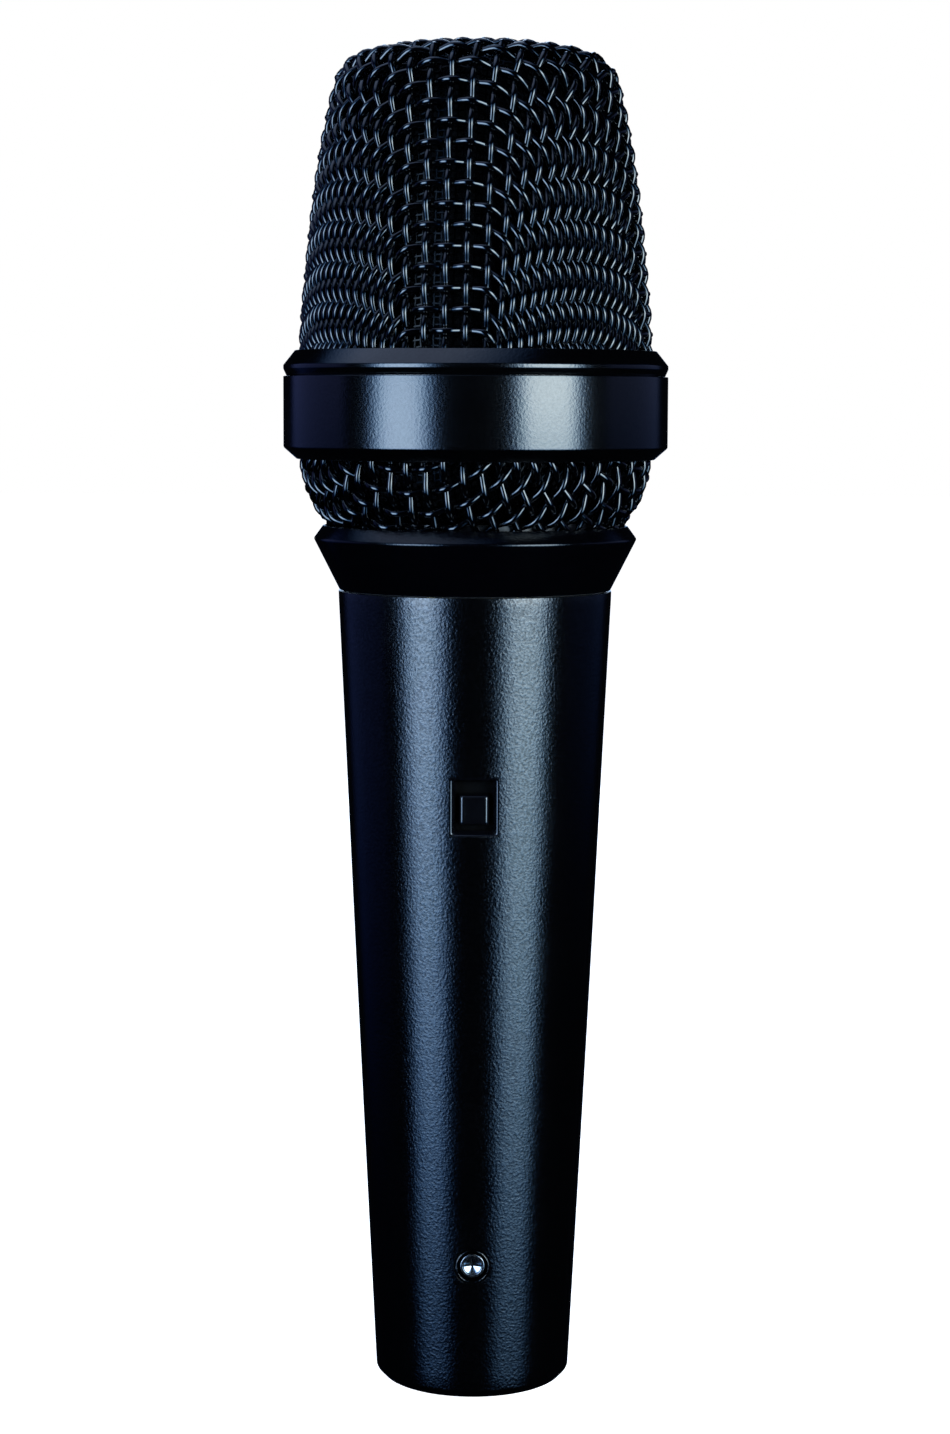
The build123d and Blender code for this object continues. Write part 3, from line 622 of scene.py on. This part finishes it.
class Weave:
    """A whole basket: its four quadrants, turned so that one wire runs down the meridian."""

    def __init__(self, quadrant, azimuth, squeeze=1.0):
        a = math.radians(azimuth)
        u = np.array((math.sin(a), -math.cos(a)))
        v = np.array((math.cos(a), math.sin(a)))
        self.node = {}
        for (i, j), p in quadrant.items():
            for si in (1, -1):
                for sj in (1, -1):
                    xy = si * p[0] * u + sj * p[1] * v
                    self.node[si * i, sj * j] = np.array((xy[0], xy[1], p[2] / squeeze))
        self.normal = {key: self.find_normal(key) for key in self.node}

    def find_normal(self, key):
        """The outward normal at a node, from its neighbours on both wires."""
        i, j = key
        around = []
        for a, b in (((i - 1, j), (i + 1, j)), ((i, j - 1), (i, j + 1))):
            first = self.node.get(a, self.node[key])
            second = self.node.get(b, self.node[key])
            around.append(second - first)
        n = np.cross(around[0], around[1])
        size = np.linalg.norm(n)
        p = self.node[key]
        out = np.array((p[0], p[1], 0.0))
        if size < 1e-6:
            return out / max(np.linalg.norm(out), 1e-6)
        n /= size
        inside = np.array((0, 0, UPPER_MIDDLE if p[2] > BEZEL_FOOT else BEZEL_FOOT))
        return n if n @ (p - inside) > 0 else -n

    def line(self, family, fixed, keep):
        """The runs of kept nodes along one wire."""
        runs, run = [], []
        for k in range(-NET_REACH, NET_REACH + 1):
            key = (k, fixed) if family == "u" else (fixed, k)
            if key in self.node and keep(self.node[key]):
                run.append(key)
            elif run:
                runs.append(run)
                run = []
        if run:
            runs.append(run)
        return [r for r in runs if len(r) > 1]


def wire_path(points, normals, sides_up, lift, samples):
    """A crimped centre line through the nodes, riding over and under, and its normals."""
    p, n = np.array(points), np.array(normals)
    path, up = [], []
    last = len(p) - 1
    for k in range(last):
        p0, p1, p2, p3 = p[max(k - 1, 0)], p[k], p[k + 1], p[min(k + 2, last)]
        for step in range(samples):
            t = step / samples
            c = 0.5 * (
                2 * p1 + (p2 - p0) * t + (2 * p0 - 5 * p1 + 4 * p2 - p3) * t**2
                + (3 * p1 - p0 - 3 * p2 + p3) * t**3
            )
            normal = n[k] * (1 - t) + n[k + 1] * t
            normal /= np.linalg.norm(normal)
            path.append(c + normal * lift * sides_up[k] * math.cos(math.pi * t))
            up.append(normal)
    path.append(p[last] + n[last] * lift * sides_up[last])
    up.append(n[last])
    return np.array(path), np.array(up)


def tube(path, up, radius, sides, verts, faces):
    """Adds a round wire along the path to the vertex and face lists."""
    tangent = np.gradient(path, axis=0)
    tangent /= np.linalg.norm(tangent, axis=1)[:, None]
    across = np.cross(tangent, up)
    across /= np.linalg.norm(across, axis=1)[:, None]
    lift = np.cross(across, tangent)
    first = len(verts)
    angles = np.arange(sides) * 2 * math.pi / sides + math.pi / sides
    for k in range(len(path)):
        for angle in angles:
            spoke = math.cos(angle) * lift[k] + math.sin(angle) * across[k]
            verts.append((path[k] + radius * spoke) * MM)
    for k in range(len(path) - 1):
        a, b = first + k * sides, first + (k + 1) * sides
        for m in range(sides):
            n = (m + 1) % sides
            faces.append((a + m, a + n, b + n, b + m))
    faces.append(tuple(first + m for m in reversed(range(sides))))
    end = first + (len(path) - 1) * sides
    faces.append(tuple(end + m for m in range(sides)))


def weave_wires(name, weave, family, keep):
    """All the wires of one family as one piece."""
    verts, faces = [], []
    up_when = 1 if family == "u" else 0
    for fixed in range(-NET_REACH, NET_REACH + 1):
        for run in weave.line(family, fixed, keep):
            over = [1.0 if (i + j) % 2 == up_when else -1.0 for i, j in run]
            points = [weave.node[key] for key in run]
            normals = [weave.normal[key] for key in run]
            path, up = wire_path(points, normals, over, WIRE * CRIMP, WIRE_SAMPLES)
            tube(path, up, WIRE, WIRE_SIDES, verts, faces)
    return new_object(name, verts, faces, WIRE_PAINT, 60.0)


def screen_spot(weave, a, b, keep, lift):
    """The centre and normal of a screen wire at crossing (a, b) of the screen, None off it."""
    i, j = a // SCREEN_PARTS, b // SCREEN_PARTS
    x, y = a / SCREEN_PARTS - i, b / SCREEN_PARTS - j
    corners = [(i, j), (i + 1, j), (i, j + 1), (i + 1, j + 1)]
    if not all(key in weave.node for key in corners):
        return None
    share = ((1 - x) * (1 - y), x * (1 - y), (1 - x) * y, x * y)
    p = sum(w * weave.node[key] for w, key in zip(share, corners))
    n = sum(w * weave.normal[key] for w, key in zip(share, corners))
    n = n / np.linalg.norm(n)
    return (p - n * (SCREEN_DEPTH - lift), n) if keep(p) else None


def fine_screen(name, weave, family, keep):
    """A fine woven screen that lies under the basket, several thin wires to each of its cells."""
    verts, faces = [], []
    up_when = 1 if family == "u" else 0
    for fixed in range(-SCREEN_REACH, SCREEN_REACH + 1):
        run = []
        for k in range(-SCREEN_REACH, SCREEN_REACH + 1):
            a, b = (k, fixed) if family == "u" else (fixed, k)
            lift = SCREEN_WIRE if (a + b) % 2 == up_when else -SCREEN_WIRE
            spot = screen_spot(weave, a, b, keep, lift)
            if spot is not None:
                run.append(spot)
            if spot is None or k == SCREEN_REACH:
                if len(run) > 1:
                    path, up = (np.array(column) for column in zip(*run))
                    tube(path, up, SCREEN_WIRE, SCREEN_SIDES, verts, faces)
                run = []
    return new_object(name, verts, faces, LINER_PAINT, 80.0)


def between(low, high=math.inf):
    """A test for points whose height lies between two heights."""
    return lambda p: low < p[2] < high


def baskets():
    """The upper and lower baskets and the fine screens behind them."""
    upper = Weave(drawn_net(Surface(UPPER, CREST_TO_CENTRE), UPPER_PITCH), UPPER_TURN)
    rim, foot = LOWER[0]
    bowl = [(0.0, foot - BOWL_DEPTH)]
    for r in (6.0, 11.0, 15.4, 18.6):
        bowl.append((r, foot - BOWL_DEPTH * (1 - BOWL_CURVE * (r / rim) ** 2)))
    lower_surface = Surface(bowl + LOWER, CREST_TO_CENTRE, LOWER_SQUEEZE, run_out=3.0)
    lower = Weave(drawn_net(lower_surface, LOWER_PITCH), LOWER_TURN, LOWER_SQUEEZE)
    layers = (
        (weave_wires, "upper_basket", upper, between(UPPER_FOOT + 0.5), "upper_grille_mesh"),
        (weave_wires, "lower_basket", lower, between(FLARE_TOP - 1.4, LOWER_TOP - 0.5),
         "lower_grille_mesh"),
        (fine_screen, "upper_screen", upper, between(BEZEL_TOP - 2.0), "upper_liner_screen"),
        (fine_screen, "lower_screen", lower, between(FLARE_TOP - 0.1, COLLAR_FOOT + 0.7),
         "lower_liner_screen"),
    )
    for family in "uv":
        for make, name, weave, keep, node in layers:
            obj = make(f"{name}_{family}_wires", weave, family, keep)
            place_piece(obj, "grille", node)


FOAM_STEP = 0.7
FOAM_PIT = 0.18
FOAM_MOUTH = 0.25  # the skin stops short of the axis


def foam_skin(name, outline, thickness, node, seed):
    """Open-cell foam: a revolved skin with a pitted face."""
    curve = smooth_curve(outline, FOAM_STEP)
    tangent = np.gradient(curve, axis=0)
    tangent /= np.linalg.norm(tangent, axis=1)[:, None]
    rising = 1.0 if curve[-1, 1] > curve[0, 1] else -1.0
    inward = np.c_[-tangent[:, 1], tangent[:, 0]] * rising
    inner = curve + inward * thickness
    inner[:, 0] = np.maximum(inner[:, 0], 0.0)
    if curve[0, 0] < FOAM_MOUTH:
        curve[0, 0] = FOAM_MOUTH
        inner[0, 0] = FOAM_MOUTH
    profile = [tuple(q) for q in curve] + [tuple(q) for q in inner[::-1]]
    obj = lathe(name, profile, FOAM, 180, 80.0)
    pits = np.random.default_rng(seed)
    co = np.array([v.co for v in obj.data.vertices], float)
    out = co * np.array((1, 1, 0))
    out /= np.maximum(np.linalg.norm(out, axis=1), 1e-9)[:, None]
    co -= out * pits.random(len(co))[:, None] * FOAM_PIT * MM
    obj.data.vertices.foreach_set("co", co.astype(np.float32).ravel())
    obj.data.update()
    place_piece(obj, "grille", node)


def foams():
    """The foam cup in the upper basket and the foam ring in the lower one."""
    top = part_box("upper_foam_cup")[1][2] / MM
    foam_skin("upper_foam", [(r, top - drop) for r, drop in (
        (0.0, 0.05), (7.0, 0.35), (13.4, 1.25), (15.9, 2.75), (17.1, 5.65), (18.5, 12.65),
        (19.75, 21.15), (20.6, 28.65), (21.2, 36.65), (21.3, 40.15),
    )], 1.7, "upper_foam_cup", 3)
    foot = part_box("lower_foam_ring")[0][2] / MM
    foam_skin("lower_foam", [(r, foot + rise) for r, rise in (
        (18.1, 0.1), (18.9, 1.6), (20.0, 3.8), (20.8, 6.2), (21.15, 8.7),
    )], 1.6, "lower_foam_ring", 4)


# -------------------- turned rings

def flare_ring():
    """The cone under the basket. Its skirt hangs past the gasket to the handle's top edge."""
    bore_radius, socket_radius, gasket_radius = 16.55, 20.46, 17.98
    seat = FLARE_TOP - 1.6
    brim = FLARE_TOP - 0.05
    skirt = FLARE_FOOT - 0.2
    profile = rounded([
        (bore_radius, FLARE_FOOT, 0.1), (gasket_radius, FLARE_FOOT, 0),
        (gasket_radius + 0.04, skirt, 0.05), (FLARE_RADIUS - 3.48, skirt, 0.08),
        (FLARE_RADIUS, FLARE_TOP - 1.8, 0.26), (socket_radius + 0.2, brim, 0.18),
        (socket_radius, brim, 0.05), (socket_radius, seat, 0), (bore_radius, seat, 0.1),
    ], 5)
    obj = lathe("flare_ring", profile, RING_PAINT, 256)
    place_piece(obj, "grille", "neck_flare_ring")


def collar():
    """The band round the head: a short cone at its foot, then an upright face."""
    bore_radius = 24.6
    lip = LOWER_RADIUS + 0.11
    lip_top = COLLAR_FOOT + 1.3
    profile = rounded([
        (lip, COLLAR_FOOT, 0.05), (lip + 0.16, COLLAR_FOOT, 0.06),
        (COLLAR_RADIUS, COLLAR_FOOT + 1.56, 0.22), (COLLAR_RADIUS, COLLAR_TOP, 0.12),
        (bore_radius, COLLAR_TOP, 0.1), (bore_radius, lip_top, 0), (lip, lip_top, 0),
    ], 5)
    obj = lathe("collar", profile, COLLAR_PAINT, 288)
    place_piece(obj, "grille", "collar_band")


def bezel():
    """The ring above the collar: its skirt fills the collar, its underside makes the groove."""
    bore_radius = 24.1
    skirt = BEZEL_RADIUS - 1.5
    groove_radius = COLLAR_RADIUS - 0.42
    underside = COLLAR_TOP + 0.05
    profile = rounded([
        (bore_radius, BEZEL_FOOT, 0), (skirt, BEZEL_FOOT, 0), (skirt, underside, 0),
        (groove_radius, underside, 0.04), (BEZEL_RADIUS, underside + 0.93, 0.06),
        (BEZEL_RADIUS, underside + 1.42, 0.12), (bore_radius + 0.32, BEZEL_TOP, 0.12),
        (bore_radius, BEZEL_TOP, 0.06),
    ], 5)
    obj = lathe("bezel", profile, COLLAR_PAINT, 288)
    place_piece(obj, "grille", "bezel_ring")


# -------------------- handle

HANDLE_SIDE = [(13.33, 1.08), (14.51, 24.3), (16.18, 58.1), (17.75, 91.4), (18.52, 107.8)]
HANDLE_STEP = 2.2
RIM_BORE, RIM_RADIUS, RIM_FLOOR = 11.1, 12.3, 24.0
CAVITY_LOW, CAVITY_HIGH = (12.15, 25.0), (15.6, 98.0)
NECK_BORE = 16.0
WINDOW = (6.6, 8.1)  # the switch's opening, width and height
POCKET = (8.4, 15.2)  # the room behind it
POCKET_FRONT = -15.3
SCREW_HOLE, SCREW_RECESS = 2.08, 2.56  # radii
RECESS_FLOOR = -13.9


def handle_radius(z):
    """The handle's outside radius at a height."""
    curve = smooth_curve(HANDLE_SIDE)
    return float(np.interp(z, curve[:, 1], curve[:, 0]))


def prism(name, size, y_front, y_back, z, corner):
    """A cutter: an upright rectangle with rounded corners, run along Y."""
    ring = rounded_loop(*size, corner, turns=6, splits=1)
    loops = [[(x, y, z + h) for x, h in ring] for y in (y_front, y_back)]
    return skin_loops(name, loops, BODY_PAINT, 35.0, closed=False)


def bore(name, stations, z, sides=48):
    """A cutter: a stepped round hole run along Y, from (y, radius) stations."""
    angles = [2 * math.pi * k / sides for k in range(sides)]
    loops = [[(r * math.cos(a), y, z + r * math.sin(a)) for a in angles] for y, r in stations]
    return skin_loops(name, loops, BODY_PAINT, 35.0, closed=False)


def cut(obj, cutters, name, material, smooth):
    """obj less its cutters, as a new object."""
    for cutter in cutters:
        modifier = obj.modifiers.new("cut", "BOOLEAN")
        modifier.operation = "DIFFERENCE"
        modifier.solver = "EXACT"
        modifier.object = cutter
    mesh = baked(obj, name)
    for each in [obj, *cutters]:
        bpy.data.objects.remove(each)
    return settle(name, mesh, material, smooth)


def screw_hole():
    """A cutter for the lock screw: a flat recess, with a raised round lip about the hole."""
    lip = [(0.0, 0.22), (-0.08, 0.21), (-0.15, 0.16), (-0.18, 0.09), (-0.15, 0.03), (-0.06, 0.0)]
    stations = [
        (-17, SCREW_RECESS), (RECESS_FLOOR - 0.1, SCREW_RECESS),
        (RECESS_FLOOR - 0.02, SCREW_RECESS - 0.04),
        *[(RECESS_FLOOR + rise, SCREW_HOLE + out) for rise, out in lip],
        (-10, SCREW_HOLE),
    ]
    return bore("hole", stations, SCREW_Z)


def handle():
    """The tapered shell, turned hollow, with the switch's opening and the screw's hole cut in."""
    side = smooth_curve(HANDLE_SIDE, HANDLE_STEP)
    profile = rounded([
        (RIM_BORE, HANDLE_FOOT, 0.12), (RIM_RADIUS, HANDLE_FOOT, 0.2), (*HANDLE_SIDE[0], 0.25),
        *[(r, z, 0) for r, z in side[1:-1]],
        (HANDLE_RADIUS - 0.04, HANDLE_SIDE[-1][1], 0), (HANDLE_RADIUS, HANDLE_TOP, 0.02),
        (NECK_BORE, HANDLE_TOP, 0.15), (NECK_BORE, CAVITY_HIGH[1], 0),
        (*CAVITY_HIGH, 0), (*CAVITY_LOW, 0), (RIM_BORE, RIM_FLOOR, 0),
    ], 4)
    shell = lathe("shell", profile, BODY_PAINT, 256)
    window = prism("window", WINDOW, -20, -12, SWITCH_Z, 0.3)
    pocket = prism("pocket", POCKET, POCKET_FRONT, -11.5, SWITCH_Z, 0.3)
    obj = cut(shell, [window, pocket, screw_hole()], "handle", BODY_PAINT, 32.0)
    place_piece(obj, "handle", "handle_shell")


# -------------------- switch and lock screw

def front_surface(x, z):
    """The y of the handle's front face at this x and height."""
    return -math.sqrt(handle_radius(z) ** 2 - x * x)


def switch_frame():
    """The escutcheon: its rim follows the handle, and four mitred slopes run to the opening."""
    mouth_w, mouth_h = WINDOW[0] - 0.08, WINDOW[1] - 0.08
    mouth_round, opening_w, opening_h = 0.4, 4.9, 6.5
    back, lip = -14.9, -15.98
    flange = POCKET_FRONT + 0.04

    def on_face(inset, sink):
        ring = rounded_loop(mouth_w - 2 * inset, mouth_h - 2 * inset, 0.3)
        return [(x, front_surface(x, SWITCH_Z + z) + sink, SWITCH_Z + z) for x, z in ring]

    def flat(width, height, y):
        return [(x, y, SWITCH_Z + z) for x, z in rounded_loop(width, height, 0.25)]

    loops = [flat(opening_w, opening_h, back), flat(opening_w, opening_h, lip),
             flat(opening_w + 0.08, opening_h + 0.08, lip - 0.08)]
    for degrees in (60, 50, 42, 36, 30, 24, 18, 12, 6, 0):
        a = math.radians(degrees)
        inset, sink = mouth_round * math.sin(a), mouth_round * (1 - math.cos(a))
        loops.append(on_face(0.02 + inset, 0.02 + sink))
    loops += [on_face(0.0, 0.06), flat(mouth_w, mouth_h, flange),
              flat(FLANGE_WIDTH, FLANGE_HEIGHT, flange), flat(FLANGE_WIDTH, FLANGE_HEIGHT, back)]
    obj = skin_loops("escutcheon", loops, FRAME_PLASTIC, 25.0, closed=True)
    place_piece(obj, "handle", "switch_frame")


def switch_knob():
    """The slide button: a pad with rolled edges and a shallow dish, on a wider foot."""
    crown_w, crown_h, roll, dish, dish_loops = 2.98, 3.2, 0.36, 0.12, 8
    top = KNOB_FACE + 0.01
    foot = -14.76

    def loop(width, height, y):
        return [(x, y, KNOB_Z + z) for x, z in rounded_loop(width, height, min(0.3, width / 6))]

    loops = []
    for k in range(1, dish_loops + 1):
        share = k / dish_loops
        loops.append(loop(crown_w * share, crown_h * share, top + dish * (1 - share**2)))
    for degrees in range(6, 67, 6):
        a = math.radians(degrees)
        spread = 2 * roll * math.sin(a)
        loops.append(loop(crown_w + spread, crown_h + spread, top + roll * (1 - math.cos(a))))
    loops += [loop(KNOB_WIDTH - 0.1, KNOB_HEIGHT - 0.08, top + 0.75),
              loop(KNOB_WIDTH, KNOB_HEIGHT, top + 0.9), loop(KNOB_WIDTH, KNOB_HEIGHT, foot)]
    obj = skin_loops("slide_button", loops, SWITCH_PLASTIC, 40.0, closed=False)
    place_piece(obj, "switch_actuator", "switch_knob")


def lock_screw():
    """A screw with a dished, cross-recessed head, turned about Y."""
    head_radius, shank_radius, tip_radius, axis_gap = 1.62, 1.2, 0.9, 0.02
    tip, head_foot, head_face, dish_rim, dish_floor = -6.6, -11.4, -13.75, -13.58, -13.08
    slot_length, slot_width, slot_floor = 2.3, 0.34, -12.8
    profile = rounded([
        (axis_gap, tip, 0), (tip_radius, tip, 0.1), (shank_radius, tip - 0.4, 0.1),
        (shank_radius, head_foot, 0), (head_radius, head_foot, 0.1),
        (head_radius - 0.02, head_face + 0.01, 0.06), (1.3, head_face, 0.02),
        (1.28, dish_rim, 0), (1.15, dish_rim, 0.05), (axis_gap, dish_floor, 0),
    ], 5)
    segments = 72
    verts = []
    for k in range(segments):
        a = 2 * math.pi * k / segments
        c, s = math.cos(a) * MM, math.sin(a)
        verts.extend((r * c, y * MM, (SCREW_Z + r * s) * MM) for r, y in profile)
    screw = new_object("screw", verts, wrapped(segments, len(profile)), SCREW_STEEL)
    slots = [
        prism("slot_a", (slot_length, slot_width), -14, slot_floor, SCREW_Z, 0.1),
        prism("slot_b", (slot_width, slot_length), -14, slot_floor, SCREW_Z, 0.1),
    ]
    obj = cut(screw, slots, "lock_screw_piece", SCREW_STEEL, 30.0)
    place_piece(obj, "lock_screw", "xlr_lock_screw")


# -------------------- carried-over parts

CAD_FINISH = {
    "neck_sleeve": BRASS, "xlr_insert": MOULDED, "xlr_pin_1": SILVERED, "xlr_pin_2": SILVERED,
    "xlr_pin_3": SILVERED, "xlr_ground_spring": BRASS, "switch_slider": MATT_BLACK,
    "contact_bridges": BRASS, "switch_housing": MATT_BLACK, "switch_terminals": SILVERED,
    "switch_bracket": STEEL, "switch_bracket_screws": STEEL, "neck_gasket": RUBBER,
    "lower_mesh_retainer": BLACKED_STEEL, "basket_hoop": BLACKED_STEEL, "capsule_housing": ALUMINIUM,
    "rear_chamber": MOULDED, "shock_mount_boot": RUBBER, "yoke_carrier": MOULDED, "yoke_cup": IRON,
    "magnet": IRON, "pole_cap": IRON, "diaphragm_dome": FILM, "voice_coil": COPPER,
    "diaphragm_surround": FILM, "clamp_ring": BRASS, "resonator_cap": MOULDED, "front_cloth": CLOTH,
    "rear_port_cloth": CLOTH, "terminal_board": LAMINATE, "terminal_lugs": SILVERED,
}


def dress_cad_nodes():
    """Gives each CAD node that stays in the visual model its own look."""
    for name, colour in LEADS.items():
        CAD_FINISH[name] = finish_material(name + "_sleeve", colour, 0.4, grain=2200, wave=500)
    for name, material in CAD_FINISH.items():
        mesh = NODES[name].data
        mesh.materials.clear()
        mesh.materials.append(material)
        mesh.shade_smooth()
        mesh.set_sharp_from_angle(angle=math.radians(30))


# -------------------- stage, light, camera
# These are in metres and degrees. Azimuth 0 is the front, and a positive one is to the right.

LIGHT_DISTANCE = 0.6
FLOOR_DROP = 0.0002
CHANNEL_POWERS = (("Red", 1.65), ("Green", 1.3), ("Blue", 1.0))
SOFTBOXES = (  # name, azimuth, width, heights, colour, the share of each half that fades out
    ("left_box", -44.0, 0.52, (-0.265, 0.06, 0.2, 0.52), (7.4, 10.2, 13.9), 0.75),
    ("right_box", 43.5, 0.56, (-0.28, 0.17, 0.22, 0.52), (12.6, 15.0, 16.2), 0.65),
    ("left_side", -110, 0.7, (-0.15, 0.2, 0.3, 0.5), (0.10, 0.13, 0.36), 0.2),
    ("right_side", 110, 0.7, (-0.05, 0.2, 0.3, 0.5), (0.10, 0.13, 0.27), 0.2),
    ("back_box", 180, 0.24, (-0.3, -0.1, 0.5, 0.8), (1.5, 1.9, 2.5), 0.9),
)
FOCAL_LENGTH, SENSOR_WIDTH = 75.64, 36.0  # both in millimetres
CAMERA_PLACE = (0.00007, -0.4102, 0.13445)
CAMERA_DOWN, CAMERA_ROLL = 5.948, 0.22


def softbox(name, azimuth, width, heights, colour, edge):
    """A lit panel facing the axis, soft at its sides, dimming and cooling to its foot and top.

    The heights are its foot, where it is full, where it starts to fade and its top.
    """
    half = width / 2
    foot, full, fade, top = heights
    corners = [(-half, 0, foot), (half, 0, foot), (half, 0, top), (-half, 0, top)]
    a = math.radians(azimuth)
    place = Matrix.Translation((math.sin(a) * LIGHT_DISTANCE, -math.cos(a) * LIGHT_DISTANCE, 0))
    n = Nodes(name + "_light")
    split = n.add("ShaderNodeSeparateXYZ")
    n.link(n.place, "Object", split, "Vector")
    side = n.math("ABSOLUTE", (split, "X"))
    across = n.ramp(side, "Value", half * (1 - edge), half, 1.0, 0.0)
    across.interpolation_type = "SMOOTHERSTEP"
    upward = n.ramp(split, "Z", foot, full, 0.0, 1.0)
    onward = n.ramp(split, "Z", fade, top, 1.0, 0.0)
    body = n.math("MULTIPLY", (upward, "Result"), (onward, "Result"))
    level = n.math("MULTIPLY", (across, "Result"), (body, "Value"))
    return panel(name, corners, place @ Matrix.Rotation(a, 4, "Z"), n, level, colour)


def top_box(name, centre, size, colour):
    """A lit square panel overhead, facing the origin."""
    half = size / 2
    corners = [(-half, -half, 0), (-half, half, 0), (half, half, 0), (half, -half, 0)]
    n = Nodes(name + "_light")
    distance = n.add("ShaderNodeVectorMath", operation="LENGTH")
    n.link(n.place, "Object", distance, 0)
    level = n.ramp(distance, "Value", half * 0.4, half, 1.0, 0.0)
    facing = Vector(centre).to_track_quat("Z", "Y").to_matrix().to_4x4()
    return panel(name, corners, Matrix.Translation(centre) @ facing, n, level, colour)


def panel(name, corners, place, n, level, colour):
    """A panel that only lights: its red and green fall away faster than blue as the level drops."""
    mesh = bpy.data.meshes.new(name)
    mesh.from_pydata(corners, [], [(0, 1, 2, 3)])
    out = "Result" if "Result" in level.outputs else "Value"
    mixed = n.add("ShaderNodeCombineColor")
    for (channel, power), value in zip(CHANNEL_POWERS, colour):
        bent = n.math("POWER", (level, out), power)
        scaled = n.math("MULTIPLY", (bent, "Value"), value)
        n.link(scaled, "Value", mixed, channel)
    n.tree.nodes.remove(n.shader)
    glow = n.add("ShaderNodeEmission")
    n.link(mixed, "Color", glow, "Color")
    n.link(glow, "Emission", n.out, "Surface")
    mesh.materials.append(n.material)
    obj = bpy.data.objects.new(name, mesh)
    bpy.context.scene.collection.objects.link(obj)
    obj.matrix_world = place
    obj.visible_camera = False
    obj.visible_shadow = False
    return obj


def pale_floor():
    """A plain floor just under the object, left out of its reflections."""
    bpy.ops.mesh.primitive_plane_add(size=8.0, location=(0, 0, -FLOOR_DROP))
    floor = bpy.context.object
    floor.name = "floor"
    n = Nodes("pale_floor")
    n.shader.inputs["Base Color"].default_value = (0.9, 0.9, 0.9, 1)
    n.shader.inputs["Roughness"].default_value = 0.9
    grain = n.noise(600.0)
    relief = n.bump(grain, "Fac", 0.03, 0.0002)
    n.link(relief, "Normal", n.shader, "Normal")
    n.shader.inputs["Emission Color"].default_value = (1, 1, 1, 1)
    n.shader.inputs["Emission Strength"].default_value = 1.1
    floor.data.materials.append(n.material)
    floor.visible_glossy = False
    floor.visible_diffuse = False


def surroundings():
    """White to the camera, and nearly dark to everything else."""
    world = bpy.data.worlds.new("studio")
    bpy.context.scene.world = world
    world.use_nodes = True
    tree = world.node_tree
    tree.nodes.clear()
    kinds = ("OutputWorld", "LightPath", "Background", "Background", "MixShader")
    out, ray, seen, unseen, mix = (tree.nodes.new("ShaderNode" + kind) for kind in kinds)
    seen.inputs["Color"].default_value = (1, 1, 1, 1)
    unseen.inputs["Color"].default_value = (0.05, 0.06, 0.10, 1)
    unseen.inputs["Strength"].default_value = 0.03
    tree.links.new(ray.outputs["Is Camera Ray"], mix.inputs["Fac"])
    tree.links.new(unseen.outputs[0], mix.inputs[1])
    tree.links.new(seen.outputs[0], mix.inputs[2])
    tree.links.new(mix.outputs[0], out.inputs["Surface"])


def lights():
    """Five upright softboxes round the object and one overhead."""
    for settings in SOFTBOXES:
        softbox(*settings)
    top_box("overhead", (-0.25, 0.0, 0.75), 1.2, (0.7, 0.9, 1.4))


def camera():
    """A long lens in front, a little above the middle and looking slightly down."""
    data = bpy.data.cameras.new("camera")
    data.lens = FOCAL_LENGTH
    data.sensor_width = SENSOR_WIDTH
    data.clip_start = 0.01
    obj = bpy.data.objects.new("camera", data)
    bpy.context.scene.collection.objects.link(obj)
    tilt = math.pi / 2 - math.radians(CAMERA_DOWN)
    roll = math.radians(CAMERA_ROLL)
    obj.matrix_world = (
        Matrix.Translation(CAMERA_PLACE)
        @ Matrix.Rotation(tilt, 4, "X") @ Matrix.Rotation(roll, 4, "Z")
    )
    bpy.context.scene.camera = obj
    bpy.context.scene.view_settings.view_transform = "Standard"
    bpy.context.scene.view_settings.look = "None"


baskets()
foams()
flare_ring()
collar()
bezel()
handle()
switch_frame()
switch_knob()
lock_screw()
dress_cad_nodes()
pale_floor()
surroundings()
lights()
camera()
